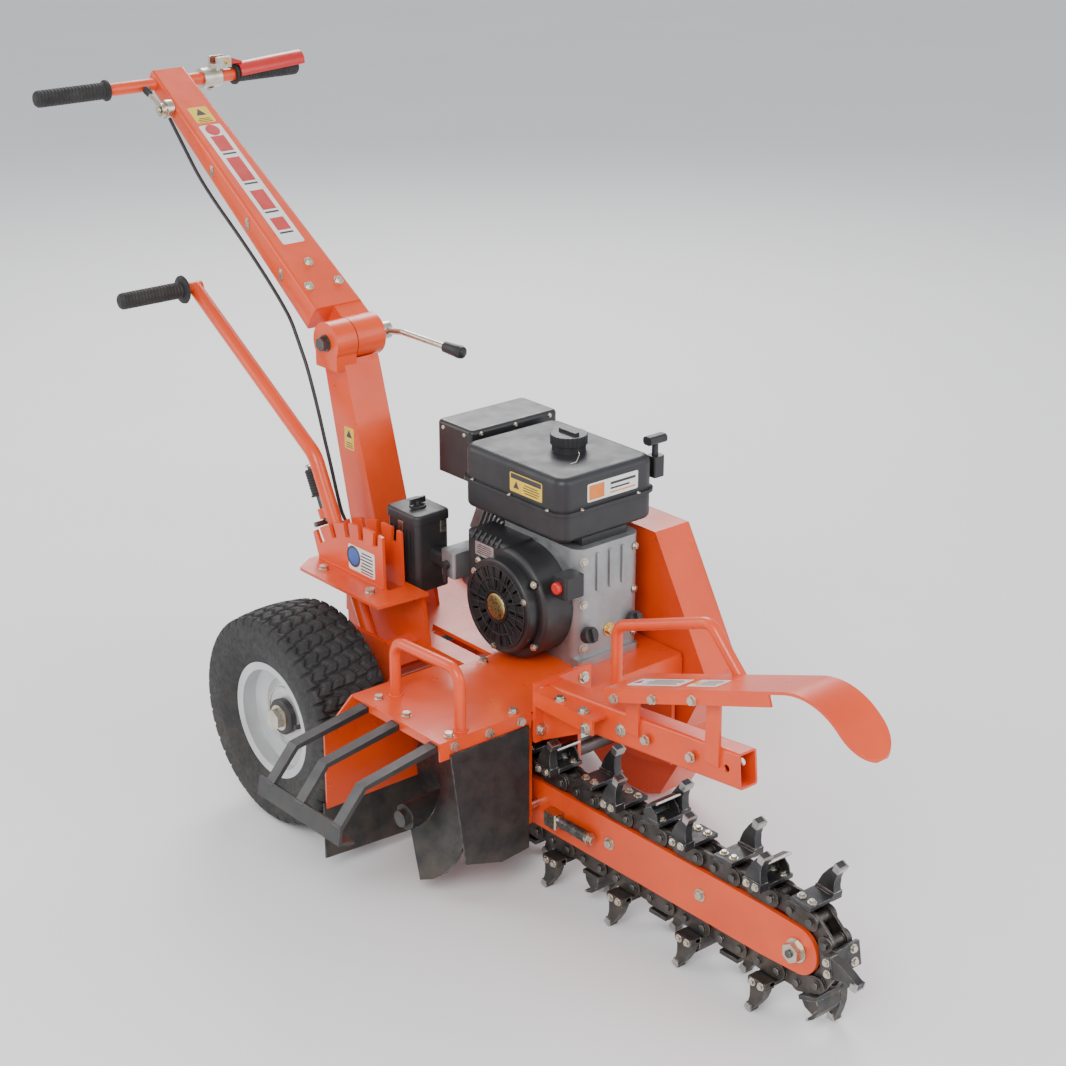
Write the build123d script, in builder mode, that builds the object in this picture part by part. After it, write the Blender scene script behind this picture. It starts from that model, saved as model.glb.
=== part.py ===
from build123d import *

import os
from math import asin, atan2, cos, degrees, pi, radians, sin, sqrt, tan

# Walk-behind chain trencher, in millimetres, +X forward (towards the boom's nose), +Y to the
# operator's left, +Z up. The origin is on the ground under the middle of the machine's box.
# The helpers below take x from the wheel axle, y from the mast's middle and z from the ground.

# ---------------------------------------------------------------- driving dimensions
AXLE_X = -221.0             # wheel axle, from the origin
MID_Y = 90.0                 # mast's middle plane, from the origin

TYRE_RADIUS = 205.0
TYRE_WIDTH = 160.0
TYRE_WALL = 9.0
CROWN = 6.0                 # drop of the tread from its middle to its edges
RIM_RADIUS = 101.0          # bead seat
RIM_WALL = 4.0
BEAD_HALF = 58.0            # half the width between the tyre's beads
HUB_HALF = 44.0
WHEEL_Y = 267.0             # middle of each tyre, from the mast's middle
HUB_RADIUS = 32.0
AXLE_RADIUS = 12.5
AXLE_Z = TYRE_RADIUS
RUNNING_GAP = 0.05          # radial, shaft in its bore
BODY_GAP = 0.3              # between bodies that move past each other

PIVOT_X, PIVOT_Z = 45.0, 250.0
PIVOT_RADIUS = 17.0
ARM_Y = 150.0
ARM_THICK = 10.0
ARM_WIDTH = 56.0
ARM_LENGTH = sqrt(PIVOT_X ** 2 + (PIVOT_Z - AXLE_Z) ** 2)
ARM_TILT = degrees(atan2(PIVOT_Z - AXLE_Z, PIVOT_X))
LEVER_Y = -110.0
LEVER_RADIUS = 14.0
LEVER_BEND = (-149.0, 634.0)
LEVER_TOP = (-545.0, 878.0)
LEVER_BEND_RADIUS = 60.0
LEVER_GRIP_LENGTH = 145.0
LEVER_GRIP_RADIUS = 16.0
QUADRANT_RADIUS = 297.0
QUADRANT_THICK = 6.0
QUADRANT_INNER_GAP = 36.0
SLOT_WIDTH = 15.0
SLOT_DEPTH = 24.0
LEVER_ANGLE = 26.8          # lever's lean back from upright, in its rear notch
LEVER_TRAVEL = 37.4         # lever's swing forward from there
LEVER_CLEARANCE = 6.0       # in front of the lever, in the foot plate's slot at full swing
SLOT_ANGLES = (32.2, 22.6, 13.0, 4.0, -5.2)   # lean back of each notch; the latch pin trails the lever
PLATFORM_Z = 443.0          # top of the plate under the notch plates and the post
PLATFORM_THICK = 6.0

HINGE_X, HINGE_Z = -175.0, 837.0
POST_FOOT_X = -83.0
POST_WIDTH = 80.0
POST_DEPTH = 68.0
KNUCKLE_RADIUS = 40.0
MAST_TOP = (-772.0, 1238.0)
MAST_TOP_WIDTH = 76.0
MAST_LOW_WIDTH = 108.0
MAST_TOP_DEPTH = 34.0
MAST_LOW_DEPTH = 56.0
MAST_WALL = 3.5
HINGE_BOLT_RADIUS = 8.0
BAR_RADIUS = 13.0
BAR_HALF = 300.0
GRIP_LENGTH = 150.0
GRIP_RADIUS = 17.0

DECK_Z = 345.0              # top of the engine plate and of the deck panel
DECK_BACK, DECK_FRONT = 274.0, 495.0
DECK_RIGHT = -320.0
SHEET = 4.0

CHAIN_PITCH = 42.0
CHAIN_TEETH = 9             # on the drive sprocket and on the nose roller
STRAIGHT_PITCHES = 17.5     # of one run of the chain, between the two tangent points
CHAIN_RADIUS = CHAIN_PITCH / 2 / sin(pi / CHAIN_TEETH)
BOOM_LENGTH = STRAIGHT_PITCHES * CHAIN_PITCH
BOOM_Z = 146.0
SHAFT_X = 365.0
NOSE_X = SHAFT_X + BOOM_LENGTH
BOOM_Y = -62.0
BOOM_THICK = 54.0
BOOM_HEIGHT = 90.0
NOSE_RADIUS = 41.5
BOOM_BAR_FRONT = NOSE_X - 80.0
BOOM_CHEEK = 8.0
BOOM_BACK = SHAFT_X + 64
NOSE_BOLT_RADIUS = 10.0
BOOM_BOLTS = (SHAFT_X + 82, SHAFT_X + 108)   # cross bolts that hold the boom's root
BOOM_BOLT_RADIUS = 8.0
SHAFT_RADIUS = 15.0
AUGER_RADIUS = 119.0
AUGER_RIGHT, AUGER_LEFT = -300.0, -135.0

CRANK_X = 300.0
CRANK_Z = DECK_Z + 106.0
CRANK_RADIUS = 12.5
RECOIL_Y = -36.0            # outer face of the recoil cover
BELT_Y = 268.0
SECOND_BELT_Y = 300.0
JACK_X, JACK_Z = 440.0, 318.0
SMALL_PULLEY = 40.0
JACK_PULLEY = 85.0
FINAL_PULLEY = 108.0
PULLEY_WIDTH = 20.0
BELT_WIDTH = 13.0
BELT_DEPTH = 9.0


def side_plane(y):
    """Plane at y that faces the machine's right: local x forward, local y up, extrudes to -Y."""
    return Plane(origin=(AXLE_X, MID_Y + y, 0), x_dir=(1, 0, 0), z_dir=(0, -1, 0))


def floor_plane(z):
    """Plane at height z: local x forward, local y to the left, extrudes up."""
    return Plane(origin=(AXLE_X, MID_Y, z), x_dir=(1, 0, 0), z_dir=(0, 0, 1))


def cross_plane(x):
    """Plane across the machine at x: local x to the left, local y up, extrudes forward."""
    return Plane(origin=(AXLE_X + x, MID_Y, 0), x_dir=(0, 1, 0), z_dir=(1, 0, 0))


def spot(x, y, z):
    """Point of the machine, as a vector in the part's own frame."""
    return Vector(AXLE_X + x, MID_Y + y, z)


def cross_axis(x, z):
    """Axis to the left through (x, z)."""
    return Axis(spot(x, 0, z), (0, 1, 0))


def shaft(x, z, right, left, radius, bore=0.0):
    """Round bar or tube along Y."""
    with BuildPart(mode=Mode.PRIVATE) as made:
        with BuildSketch(side_plane(left)):
            with Locations((x, z)):
                Circle(radius)
                if bore:
                    Circle(bore, mode=Mode.SUBTRACT)
        extrude(amount=left - right)
    return made.part


def block(x, y, z, rounding=0.0):
    """Box between the pairs x, y and z, with its upright edges rounded."""
    with BuildPart(mode=Mode.PRIVATE) as made:
        with BuildSketch(floor_plane(z[0])):
            with Locations(((x[0] + x[1]) / 2, (y[0] + y[1]) / 2)):
                if rounding:
                    RectangleRounded(x[1] - x[0], y[1] - y[0], rounding)
                else:
                    Rectangle(x[1] - x[0], y[1] - y[0])
        extrude(amount=z[1] - z[0])
    return made.part


def side_plate(points, right, left):
    """Flat plate with an outline of (x, z) points, between two y values."""
    with BuildPart(mode=Mode.PRIVATE) as made:
        with BuildSketch(side_plane(left)):
            with BuildLine():
                Polyline(*points, close=True)
            make_face()
        extrude(amount=left - right)
    return made.part


def round_tube(points, bends, radius, bore=0.0):
    """Round bar or tube along straight runs and arcs; points are machine points."""
    with BuildPart(mode=Mode.PRIVATE) as made:
        with BuildLine() as path:
            if len(points) > 2:
                FilletPolyline(*[spot(*point) for point in points], radius=bends)
            else:
                Line(spot(*points[0]), spot(*points[1]))
        with BuildSketch(Plane(origin=path.line @ 0, z_dir=path.line % 0)):
            Circle(radius)
            if bore:
                Circle(bore, mode=Mode.SUBTRACT)
        sweep(path=path.line)
    return made.part


def hex_head(place, across, height, washer=True):
    """Hexagon bolt head on its washer, standing on a plane."""
    with BuildPart(mode=Mode.PRIVATE) as made:
        lift = height / 4 if washer else 0.0
        if washer:
            with BuildSketch(place):
                Circle(across * 0.68)
            extrude(amount=lift)
        with BuildSketch(place.offset(lift)):
            RegularPolygon(across / 2, 6, major_radius=False)
        extrude(amount=height)
    return made.part


def facing(point, direction):
    """Plane at a machine point whose normal is a direction."""
    return Plane(origin=spot(*point), z_dir=direction)


os.makedirs("parts", exist_ok=True)

# ---------------------------------------------------------------- wheels
for side, hand in ((-1, "right"), (1, "left")):
    hub_plane = Plane(origin=spot(0, side * WHEEL_Y, AXLE_Z), x_dir=(0, side, 0), z_dir=(side, 0, 0))
    wheel_axis = Axis(hub_plane.origin, (0, 1, 0))
    half = TYRE_WIDTH / 2
    with BuildPart() as tyre:
        with BuildSketch(hub_plane):
            with BuildLine():
                for way in (-1, 1):
                    bead = (way * (BEAD_HALF + 3), RIM_RADIUS + 18)
                    wall_top = (way * (half - 2), TYRE_RADIUS - 20)
                    crown_edge = (way * (half - 14), TYRE_RADIUS - CROWN)
                    ThreePointArc(bead, (way * half, RIM_RADIUS + 52), wall_top)
                    ThreePointArc(wall_top, (way * (half - 6), TYRE_RADIUS - 10), crown_edge)
                ThreePointArc((14 - half, TYRE_RADIUS - CROWN), (0, TYRE_RADIUS),
                              (half - 14, TYRE_RADIUS - CROWN))
                inner_side = half - TYRE_WALL
                inner_bead = BEAD_HALF - TYRE_WALL
                Polyline((BEAD_HALF + 3, RIM_RADIUS + 18), (BEAD_HALF, RIM_RADIUS),
                         (inner_bead, RIM_RADIUS), (inner_bead + 2, RIM_RADIUS + 20),
                         (inner_side, RIM_RADIUS + 46), (inner_side, TYRE_RADIUS - 30),
                         (inner_side - 12, TYRE_RADIUS - 20), (12 - inner_side, TYRE_RADIUS - 20),
                         (-inner_side, TYRE_RADIUS - 30), (-inner_side, RIM_RADIUS + 46),
                         (-inner_bead - 2, RIM_RADIUS + 20), (-inner_bead, RIM_RADIUS),
                         (-BEAD_HALF, RIM_RADIUS), (-BEAD_HALF - 3, RIM_RADIUS + 18))
            make_face()
        revolve(axis=wheel_axis)
    tyre.part.label = hand + "_tyre"
    export_step(tyre.part, "parts/" + hand + "_tyre.step")

    with BuildPart() as rim:
        seat = RIM_RADIUS - 0.1
        low_seat = RIM_RADIUS - RIM_WALL
        with BuildSketch(hub_plane):
            with BuildLine():
                Polyline((-BEAD_HALF - 3.2, RIM_RADIUS + 16), (-BEAD_HALF - 0.2, seat),
                         (BEAD_HALF + 0.2, seat), (BEAD_HALF + 3.2, RIM_RADIUS + 16),
                         (BEAD_HALF + 7, RIM_RADIUS + 16),
                         (BEAD_HALF + 4, low_seat), (34, low_seat), (24, 72), (30, 52), (30, HUB_RADIUS),
                         (HUB_HALF, HUB_RADIUS), (HUB_HALF, AXLE_RADIUS + RUNNING_GAP),
                         (-HUB_HALF, AXLE_RADIUS + RUNNING_GAP), (-HUB_HALF, HUB_RADIUS), (26, HUB_RADIUS),
                         (26, 50), (20, 70), (29, low_seat), (-BEAD_HALF - 4, low_seat),
                         (-BEAD_HALF - 7, RIM_RADIUS + 16), close=True)
            make_face()
        revolve(axis=wheel_axis)
    rim.part.label = hand + "_rim"
    export_step(rim.part, "parts/" + hand + "_rim.step")

with BuildPart() as wheel_nuts:
    for side in (-1, 1):
        add(hex_head(facing((0, side * (WHEEL_Y + HUB_HALF + BODY_GAP), AXLE_Z), (0, side, 0)), 36, 14))
wheel_nuts.part.label = "wheel_nuts"
export_step(wheel_nuts.part, "parts/wheel_nuts.step")

# ---------------------------------------------------------------- axle carriage and depth lever
with BuildPart() as axle_carriage:
    reach = WHEEL_Y + HUB_HALF + BODY_GAP
    add(shaft(0, AXLE_Z, -reach, reach, AXLE_RADIUS))
    add(shaft(PIVOT_X, PIVOT_Z, -ARM_Y - ARM_THICK / 2, ARM_Y + ARM_THICK / 2, PIVOT_RADIUS))
    for side in (-1, 1):
        with BuildSketch(side_plane(side * ARM_Y + ARM_THICK / 2)):
            with Locations((PIVOT_X / 2, (AXLE_Z + PIVOT_Z) / 2)):
                SlotCenterToCenter(ARM_LENGTH, ARM_WIDTH, rotation=ARM_TILT)
        extrude(amount=ARM_THICK)
axle_carriage.part.label = "axle_carriage"
export_step(axle_carriage.part, "parts/axle_carriage.step")

lever_low = (PIVOT_X - 36 * sin(radians(LEVER_ANGLE)), PIVOT_Z + 36 * cos(radians(LEVER_ANGLE)))
LATCH_BEHIND = 27.0         # latch rod's middle, behind the lever's
LATCH_RADIUS = 6.5
LATCH_PIN_RISE = 7.0        # of the cross pin over the notch plates' rim, with the latch lifted
SLEEVE_HEIGHTS = (QUADRANT_RADIUS + 14, QUADRANT_RADIUS + 34)
lever_up = Vector(-sin(radians(LEVER_ANGLE)), 0, cos(radians(LEVER_ANGLE)))
lever_back = Vector(-cos(radians(LEVER_ANGLE)), 0, -sin(radians(LEVER_ANGLE)))


def on_lever(height, behind, across=0.0):
    """Machine point at a distance up the lever from its pivot, behind it and to its left."""
    point = Vector(PIVOT_X, LEVER_Y + across, PIVOT_Z) + lever_up * height + lever_back * behind
    return (point.X, point.Y, point.Z)


with BuildPart() as depth_lever:
    add(round_tube([(lever_low[0], LEVER_Y, lever_low[1]), (LEVER_BEND[0], LEVER_Y, LEVER_BEND[1]),
                    (LEVER_TOP[0], LEVER_Y, LEVER_TOP[1])], LEVER_BEND_RADIUS, LEVER_RADIUS))
    add(shaft(PIVOT_X, PIVOT_Z, LEVER_Y - 17, LEVER_Y + 20, PIVOT_RADIUS + 20, PIVOT_RADIUS))
    add(shaft(*LEVER_TOP, LEVER_Y - 25, LEVER_Y + LEVER_RADIUS, LEVER_GRIP_RADIUS - 4))
    # sleeve that guides the latch rod, on a stub from the lever
    sleeve = [on_lever(height, LATCH_BEHIND) for height in SLEEVE_HEIGHTS]
    add(round_tube(sleeve, 0, LATCH_RADIUS + 5, LATCH_RADIUS + RUNNING_GAP))
    stub_height = sum(SLEEVE_HEIGHTS) / 2
    add(round_tube([on_lever(stub_height, 0), on_lever(stub_height, LATCH_BEHIND - 9)], 0, 7))
depth_lever.part.label = "depth_lever"
export_step(depth_lever.part, "parts/depth_lever.step")

with BuildPart() as depth_grip:
    add(shaft(*LEVER_TOP, LEVER_Y - 25 - LEVER_GRIP_LENGTH, LEVER_Y - 25, LEVER_GRIP_RADIUS))
    add(shaft(*LEVER_TOP, LEVER_Y - 31, LEVER_Y - 25, LEVER_GRIP_RADIUS + 12))
depth_grip.part.label = "depth_grip"
export_step(depth_grip.part, "parts/depth_grip.step")

# the latch is a sprung rod behind the lever; its cross pin drops into the notches
pin_height = QUADRANT_RADIUS + LATCH_PIN_RISE
with BuildPart() as latch_rod:
    add(round_tube([on_lever(pin_height, LATCH_BEHIND), on_lever(QUADRANT_RADIUS + 120, LATCH_BEHIND)], 0,
                   LATCH_RADIUS))
    finger_grip = [on_lever(QUADRANT_RADIUS + height, LATCH_BEHIND) for height in (62, 107)]
    add(round_tube(finger_grip, 0, LATCH_RADIUS + 4.5))
    add(round_tube([on_lever(pin_height, LATCH_BEHIND, -27), on_lever(pin_height, LATCH_BEHIND, 27)], 0, 5))
latch_rod.part.label = "latch_rod"
export_step(latch_rod.part, "parts/latch_rod.step")

# ---------------------------------------------------------------- quadrant, post and mast
with BuildPart() as quadrant:
    for near in (-1, 1):
        middle = LEVER_Y + near * (QUADRANT_INNER_GAP + QUADRANT_THICK) / 2
        with BuildSketch(side_plane(middle + QUADRANT_THICK / 2)):
            with BuildLine():
                rim_line = CenterArc((PIVOT_X, PIVOT_Z), QUADRANT_RADIUS, 81, 45)
                Polyline(rim_line @ 1, (-112, PLATFORM_Z), (94, PLATFORM_Z), rim_line @ 0)
            make_face()
            for angle in SLOT_ANGLES:
                notch = Vector(PIVOT_X - (QUADRANT_RADIUS - SLOT_DEPTH / 2) * sin(radians(angle)),
                               PIVOT_Z + (QUADRANT_RADIUS - SLOT_DEPTH / 2) * cos(radians(angle)))
                with Locations(Location((notch.X, notch.Y), angle)):
                    Rectangle(SLOT_WIDTH, SLOT_DEPTH + 6, mode=Mode.SUBTRACT)
        extrude(amount=QUADRANT_THICK)
    # foot plate that the notch plates and the post are welded to
    with BuildSketch(floor_plane(PLATFORM_Z - PLATFORM_THICK)):
        with BuildLine():
            Polyline((-122, -150), (-95, -190), (150, -190), (158, -80), (8, -80), (8, 60), (-122, 60),
                     close=True)
        make_face()
        lean = radians(LEVER_TRAVEL - LEVER_ANGLE)
        slot_back = PIVOT_X - QUADRANT_RADIUS * 0.61
        slot_front = (PIVOT_X + (PLATFORM_Z - PIVOT_Z) * tan(lean) + LEVER_RADIUS / cos(lean)
                      + LEVER_CLEARANCE)
        with Locations(((slot_back + slot_front) / 2, LEVER_Y)):
            Rectangle(slot_front - slot_back, QUADRANT_INNER_GAP, mode=Mode.SUBTRACT)
    extrude(amount=PLATFORM_THICK)
quadrant.part.label = "quadrant"
export_step(quadrant.part, "parts/quadrant.step")

POST_WALL = 4.0
with BuildPart() as lower_post:
    with BuildSketch(side_plane(POST_WIDTH / 2)):
        with BuildLine():
            half = POST_DEPTH / 2
            Polyline((POST_FOOT_X - half - 10, PLATFORM_Z), (POST_FOOT_X + half + 12, PLATFORM_Z),
                     (HINGE_X + half, HINGE_Z - 40), (HINGE_X + half - 6, HINGE_Z - 26),
                     (HINGE_X - half + 2, HINGE_Z - 30), (HINGE_X - half, HINGE_Z - 44), close=True)
        make_face()
    extrude(amount=POST_WIDTH)
    with BuildSketch(side_plane(POST_WIDTH / 2 - POST_WALL)):
        with BuildLine():
            Polyline((POST_FOOT_X - half - 10 + POST_WALL, PLATFORM_Z - 1),
                     (POST_FOOT_X + half + 12 - POST_WALL, PLATFORM_Z - 1),
                     (HINGE_X + half - POST_WALL, HINGE_Z - 60),
                     (HINGE_X - half + POST_WALL, HINGE_Z - 64), close=True)
        make_face()
    extrude(amount=POST_WIDTH - 2 * POST_WALL, mode=Mode.SUBTRACT)
    with BuildSketch(side_plane(-12)):
        with Locations((HINGE_X, HINGE_Z)):
            Circle(KNUCKLE_RADIUS)
        with Locations((HINGE_X, HINGE_Z - 25)):
            Rectangle(POST_DEPTH, 50)
    extrude(amount=46)
    with Locations(side_plane(-35).location):
        with Locations((HINGE_X, HINGE_Z)):
            Cylinder(HINGE_BOLT_RADIUS + RUNNING_GAP, 60, mode=Mode.SUBTRACT)
    with BuildSketch(side_plane(60)):
        with Locations((HINGE_X, HINGE_Z)):
            Circle(KNUCKLE_RADIUS + 3)
    extrude(amount=72 - BODY_GAP * 2, mode=Mode.SUBTRACT)
lower_post.part.label = "lower_post"
export_step(lower_post.part, "parts/lower_post.step")

mast_length = sqrt((MAST_TOP[0] - HINGE_X) ** 2 + (MAST_TOP[1] - HINGE_Z) ** 2)
mast_out = Vector(MAST_TOP[0] - HINGE_X, 0, MAST_TOP[1] - HINGE_Z).normalized()
MAST_START = 62.0           # from the hinge to the mast's lower end, clear of the post's eye


def mast_plane(distance):
    """Plane across the mast: local x to the left, local y towards its upper face."""
    point = Vector(HINGE_X, 0, HINGE_Z) + mast_out * distance
    return Plane(origin=spot(point.X, 0, point.Z), x_dir=(0, -1, 0), z_dir=mast_out)


with BuildPart() as upper_mast:
    with BuildSketch(mast_plane(MAST_START)):
        RectangleRounded(MAST_LOW_WIDTH, MAST_LOW_DEPTH, 6)
    with BuildSketch(mast_plane(mast_length + 22)):
        RectangleRounded(MAST_TOP_WIDTH, MAST_TOP_DEPTH, 6)
    loft()
    # the mast is a folded sheet tube
    with BuildSketch(mast_plane(MAST_START + 30)):
        Rectangle(MAST_LOW_WIDTH - 2 * MAST_WALL - 2, MAST_LOW_DEPTH - 2 * MAST_WALL - 2)
    with BuildSketch(mast_plane(mast_length + 18)):
        Rectangle(MAST_TOP_WIDTH - 2 * MAST_WALL - 1, MAST_TOP_DEPTH - 2 * MAST_WALL)
    loft(mode=Mode.SUBTRACT)
    with BuildSketch(side_plane(MAST_LOW_WIDTH / 2 - 1)):
        with Locations((HINGE_X, HINGE_Z)):
            Circle(KNUCKLE_RADIUS)
            with Locations(Location((0, 0), degrees(atan2(mast_out.Z, mast_out.X)))):
                with Locations((40, 0)):
                    Rectangle(80, MAST_LOW_DEPTH - 6)
    extrude(amount=MAST_LOW_WIDTH / 2 + 9)
    with Locations(side_plane(30).location):
        with Locations((HINGE_X, HINGE_Z)):
            Cylinder(HINGE_BOLT_RADIUS + RUNNING_GAP, 100, mode=Mode.SUBTRACT)
    with Locations(side_plane(0).location):
        with Locations(MAST_TOP):
            Cylinder(BAR_RADIUS, MAST_LOW_WIDTH, mode=Mode.SUBTRACT)
upper_mast.part.label = "upper_mast"
export_step(upper_mast.part, "parts/upper_mast.step")

with BuildPart() as hinge_bolt:
    add(shaft(HINGE_X, HINGE_Z, -60, MAST_LOW_WIDTH / 2 + 8, HINGE_BOLT_RADIUS))
    add(hex_head(facing((HINGE_X, -58.3, HINGE_Z), (0, -1, 0)), 24, 11))
hinge_bolt.part.label = "hinge_bolt"
export_step(hinge_bolt.part, "parts/hinge_bolt.step")

CLAMP_Y = MAST_LOW_WIDTH / 2 + 22
with BuildPart() as clamp_lever:
    add(shaft(HINGE_X, HINGE_Z, MAST_LOW_WIDTH / 2 + BODY_GAP, CLAMP_Y + 11, 17,
              HINGE_BOLT_RADIUS + RUNNING_GAP))
    add(round_tube([(HINGE_X + 14, CLAMP_Y, HINGE_Z + 2), (HINGE_X + 62, CLAMP_Y, HINGE_Z + 10),
                    (HINGE_X + 170, CLAMP_Y + 18, HINGE_Z + 2)], 18, 6))
    rod_way = Vector(108, 18, -8).normalized()
    knob_start = Vector(HINGE_X + 170, CLAMP_Y + 18, HINGE_Z + 2) + rod_way * 0.1
    add(round_tube([tuple(knob_start), tuple(knob_start + rod_way * 44)], 0, 10))
clamp_lever.part.label = "clamp_lever"
export_step(clamp_lever.part, "parts/clamp_lever.step")

# ---------------------------------------------------------------- handlebar and controls
with BuildPart() as handlebar:
    add(shaft(*MAST_TOP, -BAR_HALF, BAR_HALF, BAR_RADIUS, BAR_RADIUS - 2.5))
handlebar.part.label = "handlebar"
export_step(handlebar.part, "parts/handlebar.step")

with BuildPart() as handlebar_grips:
    for side in (-1, 1):
        near, far = sorted((side * (BAR_HALF - GRIP_LENGTH), side * (BAR_HALF + 5)))
        add(shaft(*MAST_TOP, near, far, GRIP_RADIUS))
        ring = side * (BAR_HALF - GRIP_LENGTH)
        add(shaft(*MAST_TOP, ring - 3, ring + 3, GRIP_RADIUS + 4))
        near, far = sorted((side * (BAR_HALF - GRIP_LENGTH - 5), side * BAR_HALF))
        add(shaft(*MAST_TOP, near, far, BAR_RADIUS), mode=Mode.SUBTRACT)
handlebar_grips.part.label = "handlebar_grips"
export_step(handlebar_grips.part, "parts/handlebar_grips.step")

CLUTCH_PIVOT = (MAST_TOP[0] + 4, 122.0, MAST_TOP[1] + 31)
LEVER_PIN_RADIUS = 3.0
CLUTCH_TIP = BAR_HALF + 12
CLUTCH_INNER = GRIP_RADIUS + 2
CLUTCH_SHELL = 3.0
CLUTCH_LIFT = 12.0          # of the lever's outer end over the grip, at rest
THROTTLE_DISTANCE = mast_length - 72
throttle_spot = Vector(HINGE_X, 0, HINGE_Z) + mast_out * THROTTLE_DISTANCE
THROTTLE_SIDE = -MAST_TOP_WIDTH / 2 - 5.2
with BuildPart() as control_brackets:
    add(shaft(*MAST_TOP, 70, 112, BAR_RADIUS + 7, BAR_RADIUS))
    for cheek_x in (CLUTCH_PIVOT[0] - 17, CLUTCH_PIVOT[0] + 11):
        add(block((cheek_x, cheek_x + 6), (98, 132), (MAST_TOP[1] + 19, CLUTCH_PIVOT[2] + 10)))
    add(block((CLUTCH_PIVOT[0] - 17, CLUTCH_PIVOT[0] + 17), (96, 104), (MAST_TOP[1] + 15, MAST_TOP[1] + 27)))
    with Locations(cross_plane(CLUTCH_PIVOT[0]).location):
        with Locations((CLUTCH_PIVOT[1], CLUTCH_PIVOT[2])):
            Cylinder(LEVER_PIN_RADIUS, 34)
    # throttle stand on the mast's near side
    add(shaft(throttle_spot.X, throttle_spot.Z, THROTTLE_SIDE - 12, THROTTLE_SIDE + 2, 19))
    add(shaft(throttle_spot.X, throttle_spot.Z, THROTTLE_SIDE - 24, THROTTLE_SIDE - 12, 4))
control_brackets.part.label = "control_brackets"
export_step(control_brackets.part, "parts/control_brackets.step")

with BuildPart() as clutch_lever:
    # inverted channel that closes over the grip
    channel = CLUTCH_INNER + CLUTCH_SHELL
    for station, height in ((156.0, 2.0), (CLUTCH_TIP, CLUTCH_LIFT)):
        with BuildSketch(Plane(origin=spot(MAST_TOP[0], station, MAST_TOP[1] + height), x_dir=(1, 0, 0),
                               z_dir=(0, 1, 0))):
            Circle(channel)
            Circle(CLUTCH_INNER, mode=Mode.SUBTRACT)
            with Locations((0, channel + 4)):
                Rectangle(3 * channel, 2 * channel, mode=Mode.SUBTRACT)
    loft()
    with BuildSketch(Plane(origin=spot(CLUTCH_PIVOT[0] - 8, 0, 0), x_dir=(0, 1, 0), z_dir=(1, 0, 0))):
        with BuildLine():
            Polyline((CLUTCH_PIVOT[1] - 10, CLUTCH_PIVOT[2] - 7), (CLUTCH_PIVOT[1] + 12, CLUTCH_PIVOT[2] - 7),
                     (164, MAST_TOP[1] + channel + 1.2), (164, MAST_TOP[1] + channel + 5),
                     (CLUTCH_PIVOT[1] + 8, CLUTCH_PIVOT[2] + 8), (CLUTCH_PIVOT[1] - 10, CLUTCH_PIVOT[2] + 8),
                     close=True)
        make_face()
        with Locations((CLUTCH_PIVOT[1], CLUTCH_PIVOT[2])):
            Circle(LEVER_PIN_RADIUS + RUNNING_GAP, mode=Mode.SUBTRACT)
    extrude(amount=16)
clutch_lever.part.label = "clutch_lever"
export_step(clutch_lever.part, "parts/clutch_lever.step")

with BuildPart() as throttle_lever:
    add(shaft(throttle_spot.X, throttle_spot.Z, THROTTLE_SIDE - 22, THROTTLE_SIDE - 12 - BODY_GAP, 14))
    add(round_tube([(throttle_spot.X, THROTTLE_SIDE - 17, throttle_spot.Z),
                    (throttle_spot.X - 40, THROTTLE_SIDE - 26, throttle_spot.Z + 34)], 0, 4.5))
    add(shaft(throttle_spot.X, throttle_spot.Z, THROTTLE_SIDE - 30, THROTTLE_SIDE, 4 + RUNNING_GAP),
        mode=Mode.SUBTRACT)
throttle_lever.part.label = "throttle_lever"
export_step(throttle_lever.part, "parts/throttle_lever.step")

# throttle cable: bare conduit along the mast, then a thicker sleeve down the post to the engine
CABLE_RADIUS = 3.5
mast_route = [(throttle_spot.X + 24, -58, throttle_spot.Z - 14), (-590, -60, 1086), (-535, -61, 1046),
              (-478, -62, 1010), (-420, -63, 972), (-362, -65, 933), (-306, -70, 897), (-262, -75, 866),
              (-236, -77, 828)]
split = Vector(*mast_route[-1])
split_way = (split - Vector(*mast_route[-2])).normalized()
post_route = [tuple(split + split_way * BODY_GAP), tuple(split + split_way * 44), (-193, -79, 750),
              (-178, -78, 706), (-163, -77, 656), (-148, -75, 606), (-135, -73, 556), (-124, -69, 508),
              (-100, -58, 472), (-62, -50, 460), (-16, -47, 466), (19.9, -47, 466)]


def bend_radii(route):
    """Radius of each bend of a route: 0.45 of its shorter run over the tangent of half its turn."""
    radii = []
    for before, here, after in zip(route, route[1:], route[2:]):
        run_in, run_out = Vector(*here) - Vector(*before), Vector(*after) - Vector(*here)
        turn = radians(run_in.get_angle(run_out))
        radii.append(0.45 * min(run_in.length, run_out.length) / tan(turn / 2))
    return radii


for name, route in (("mast_cable", mast_route), ("post_cable", post_route)):
    radii = bend_radii(route)
    print(name, "bend radii", [round(radius) for radius in radii])
    with BuildPart() as cable:
        add(round_tube(route, radii, CABLE_RADIUS))
    cable.part.label = name
    export_step(cable.part, "parts/" + name + ".step")

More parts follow.
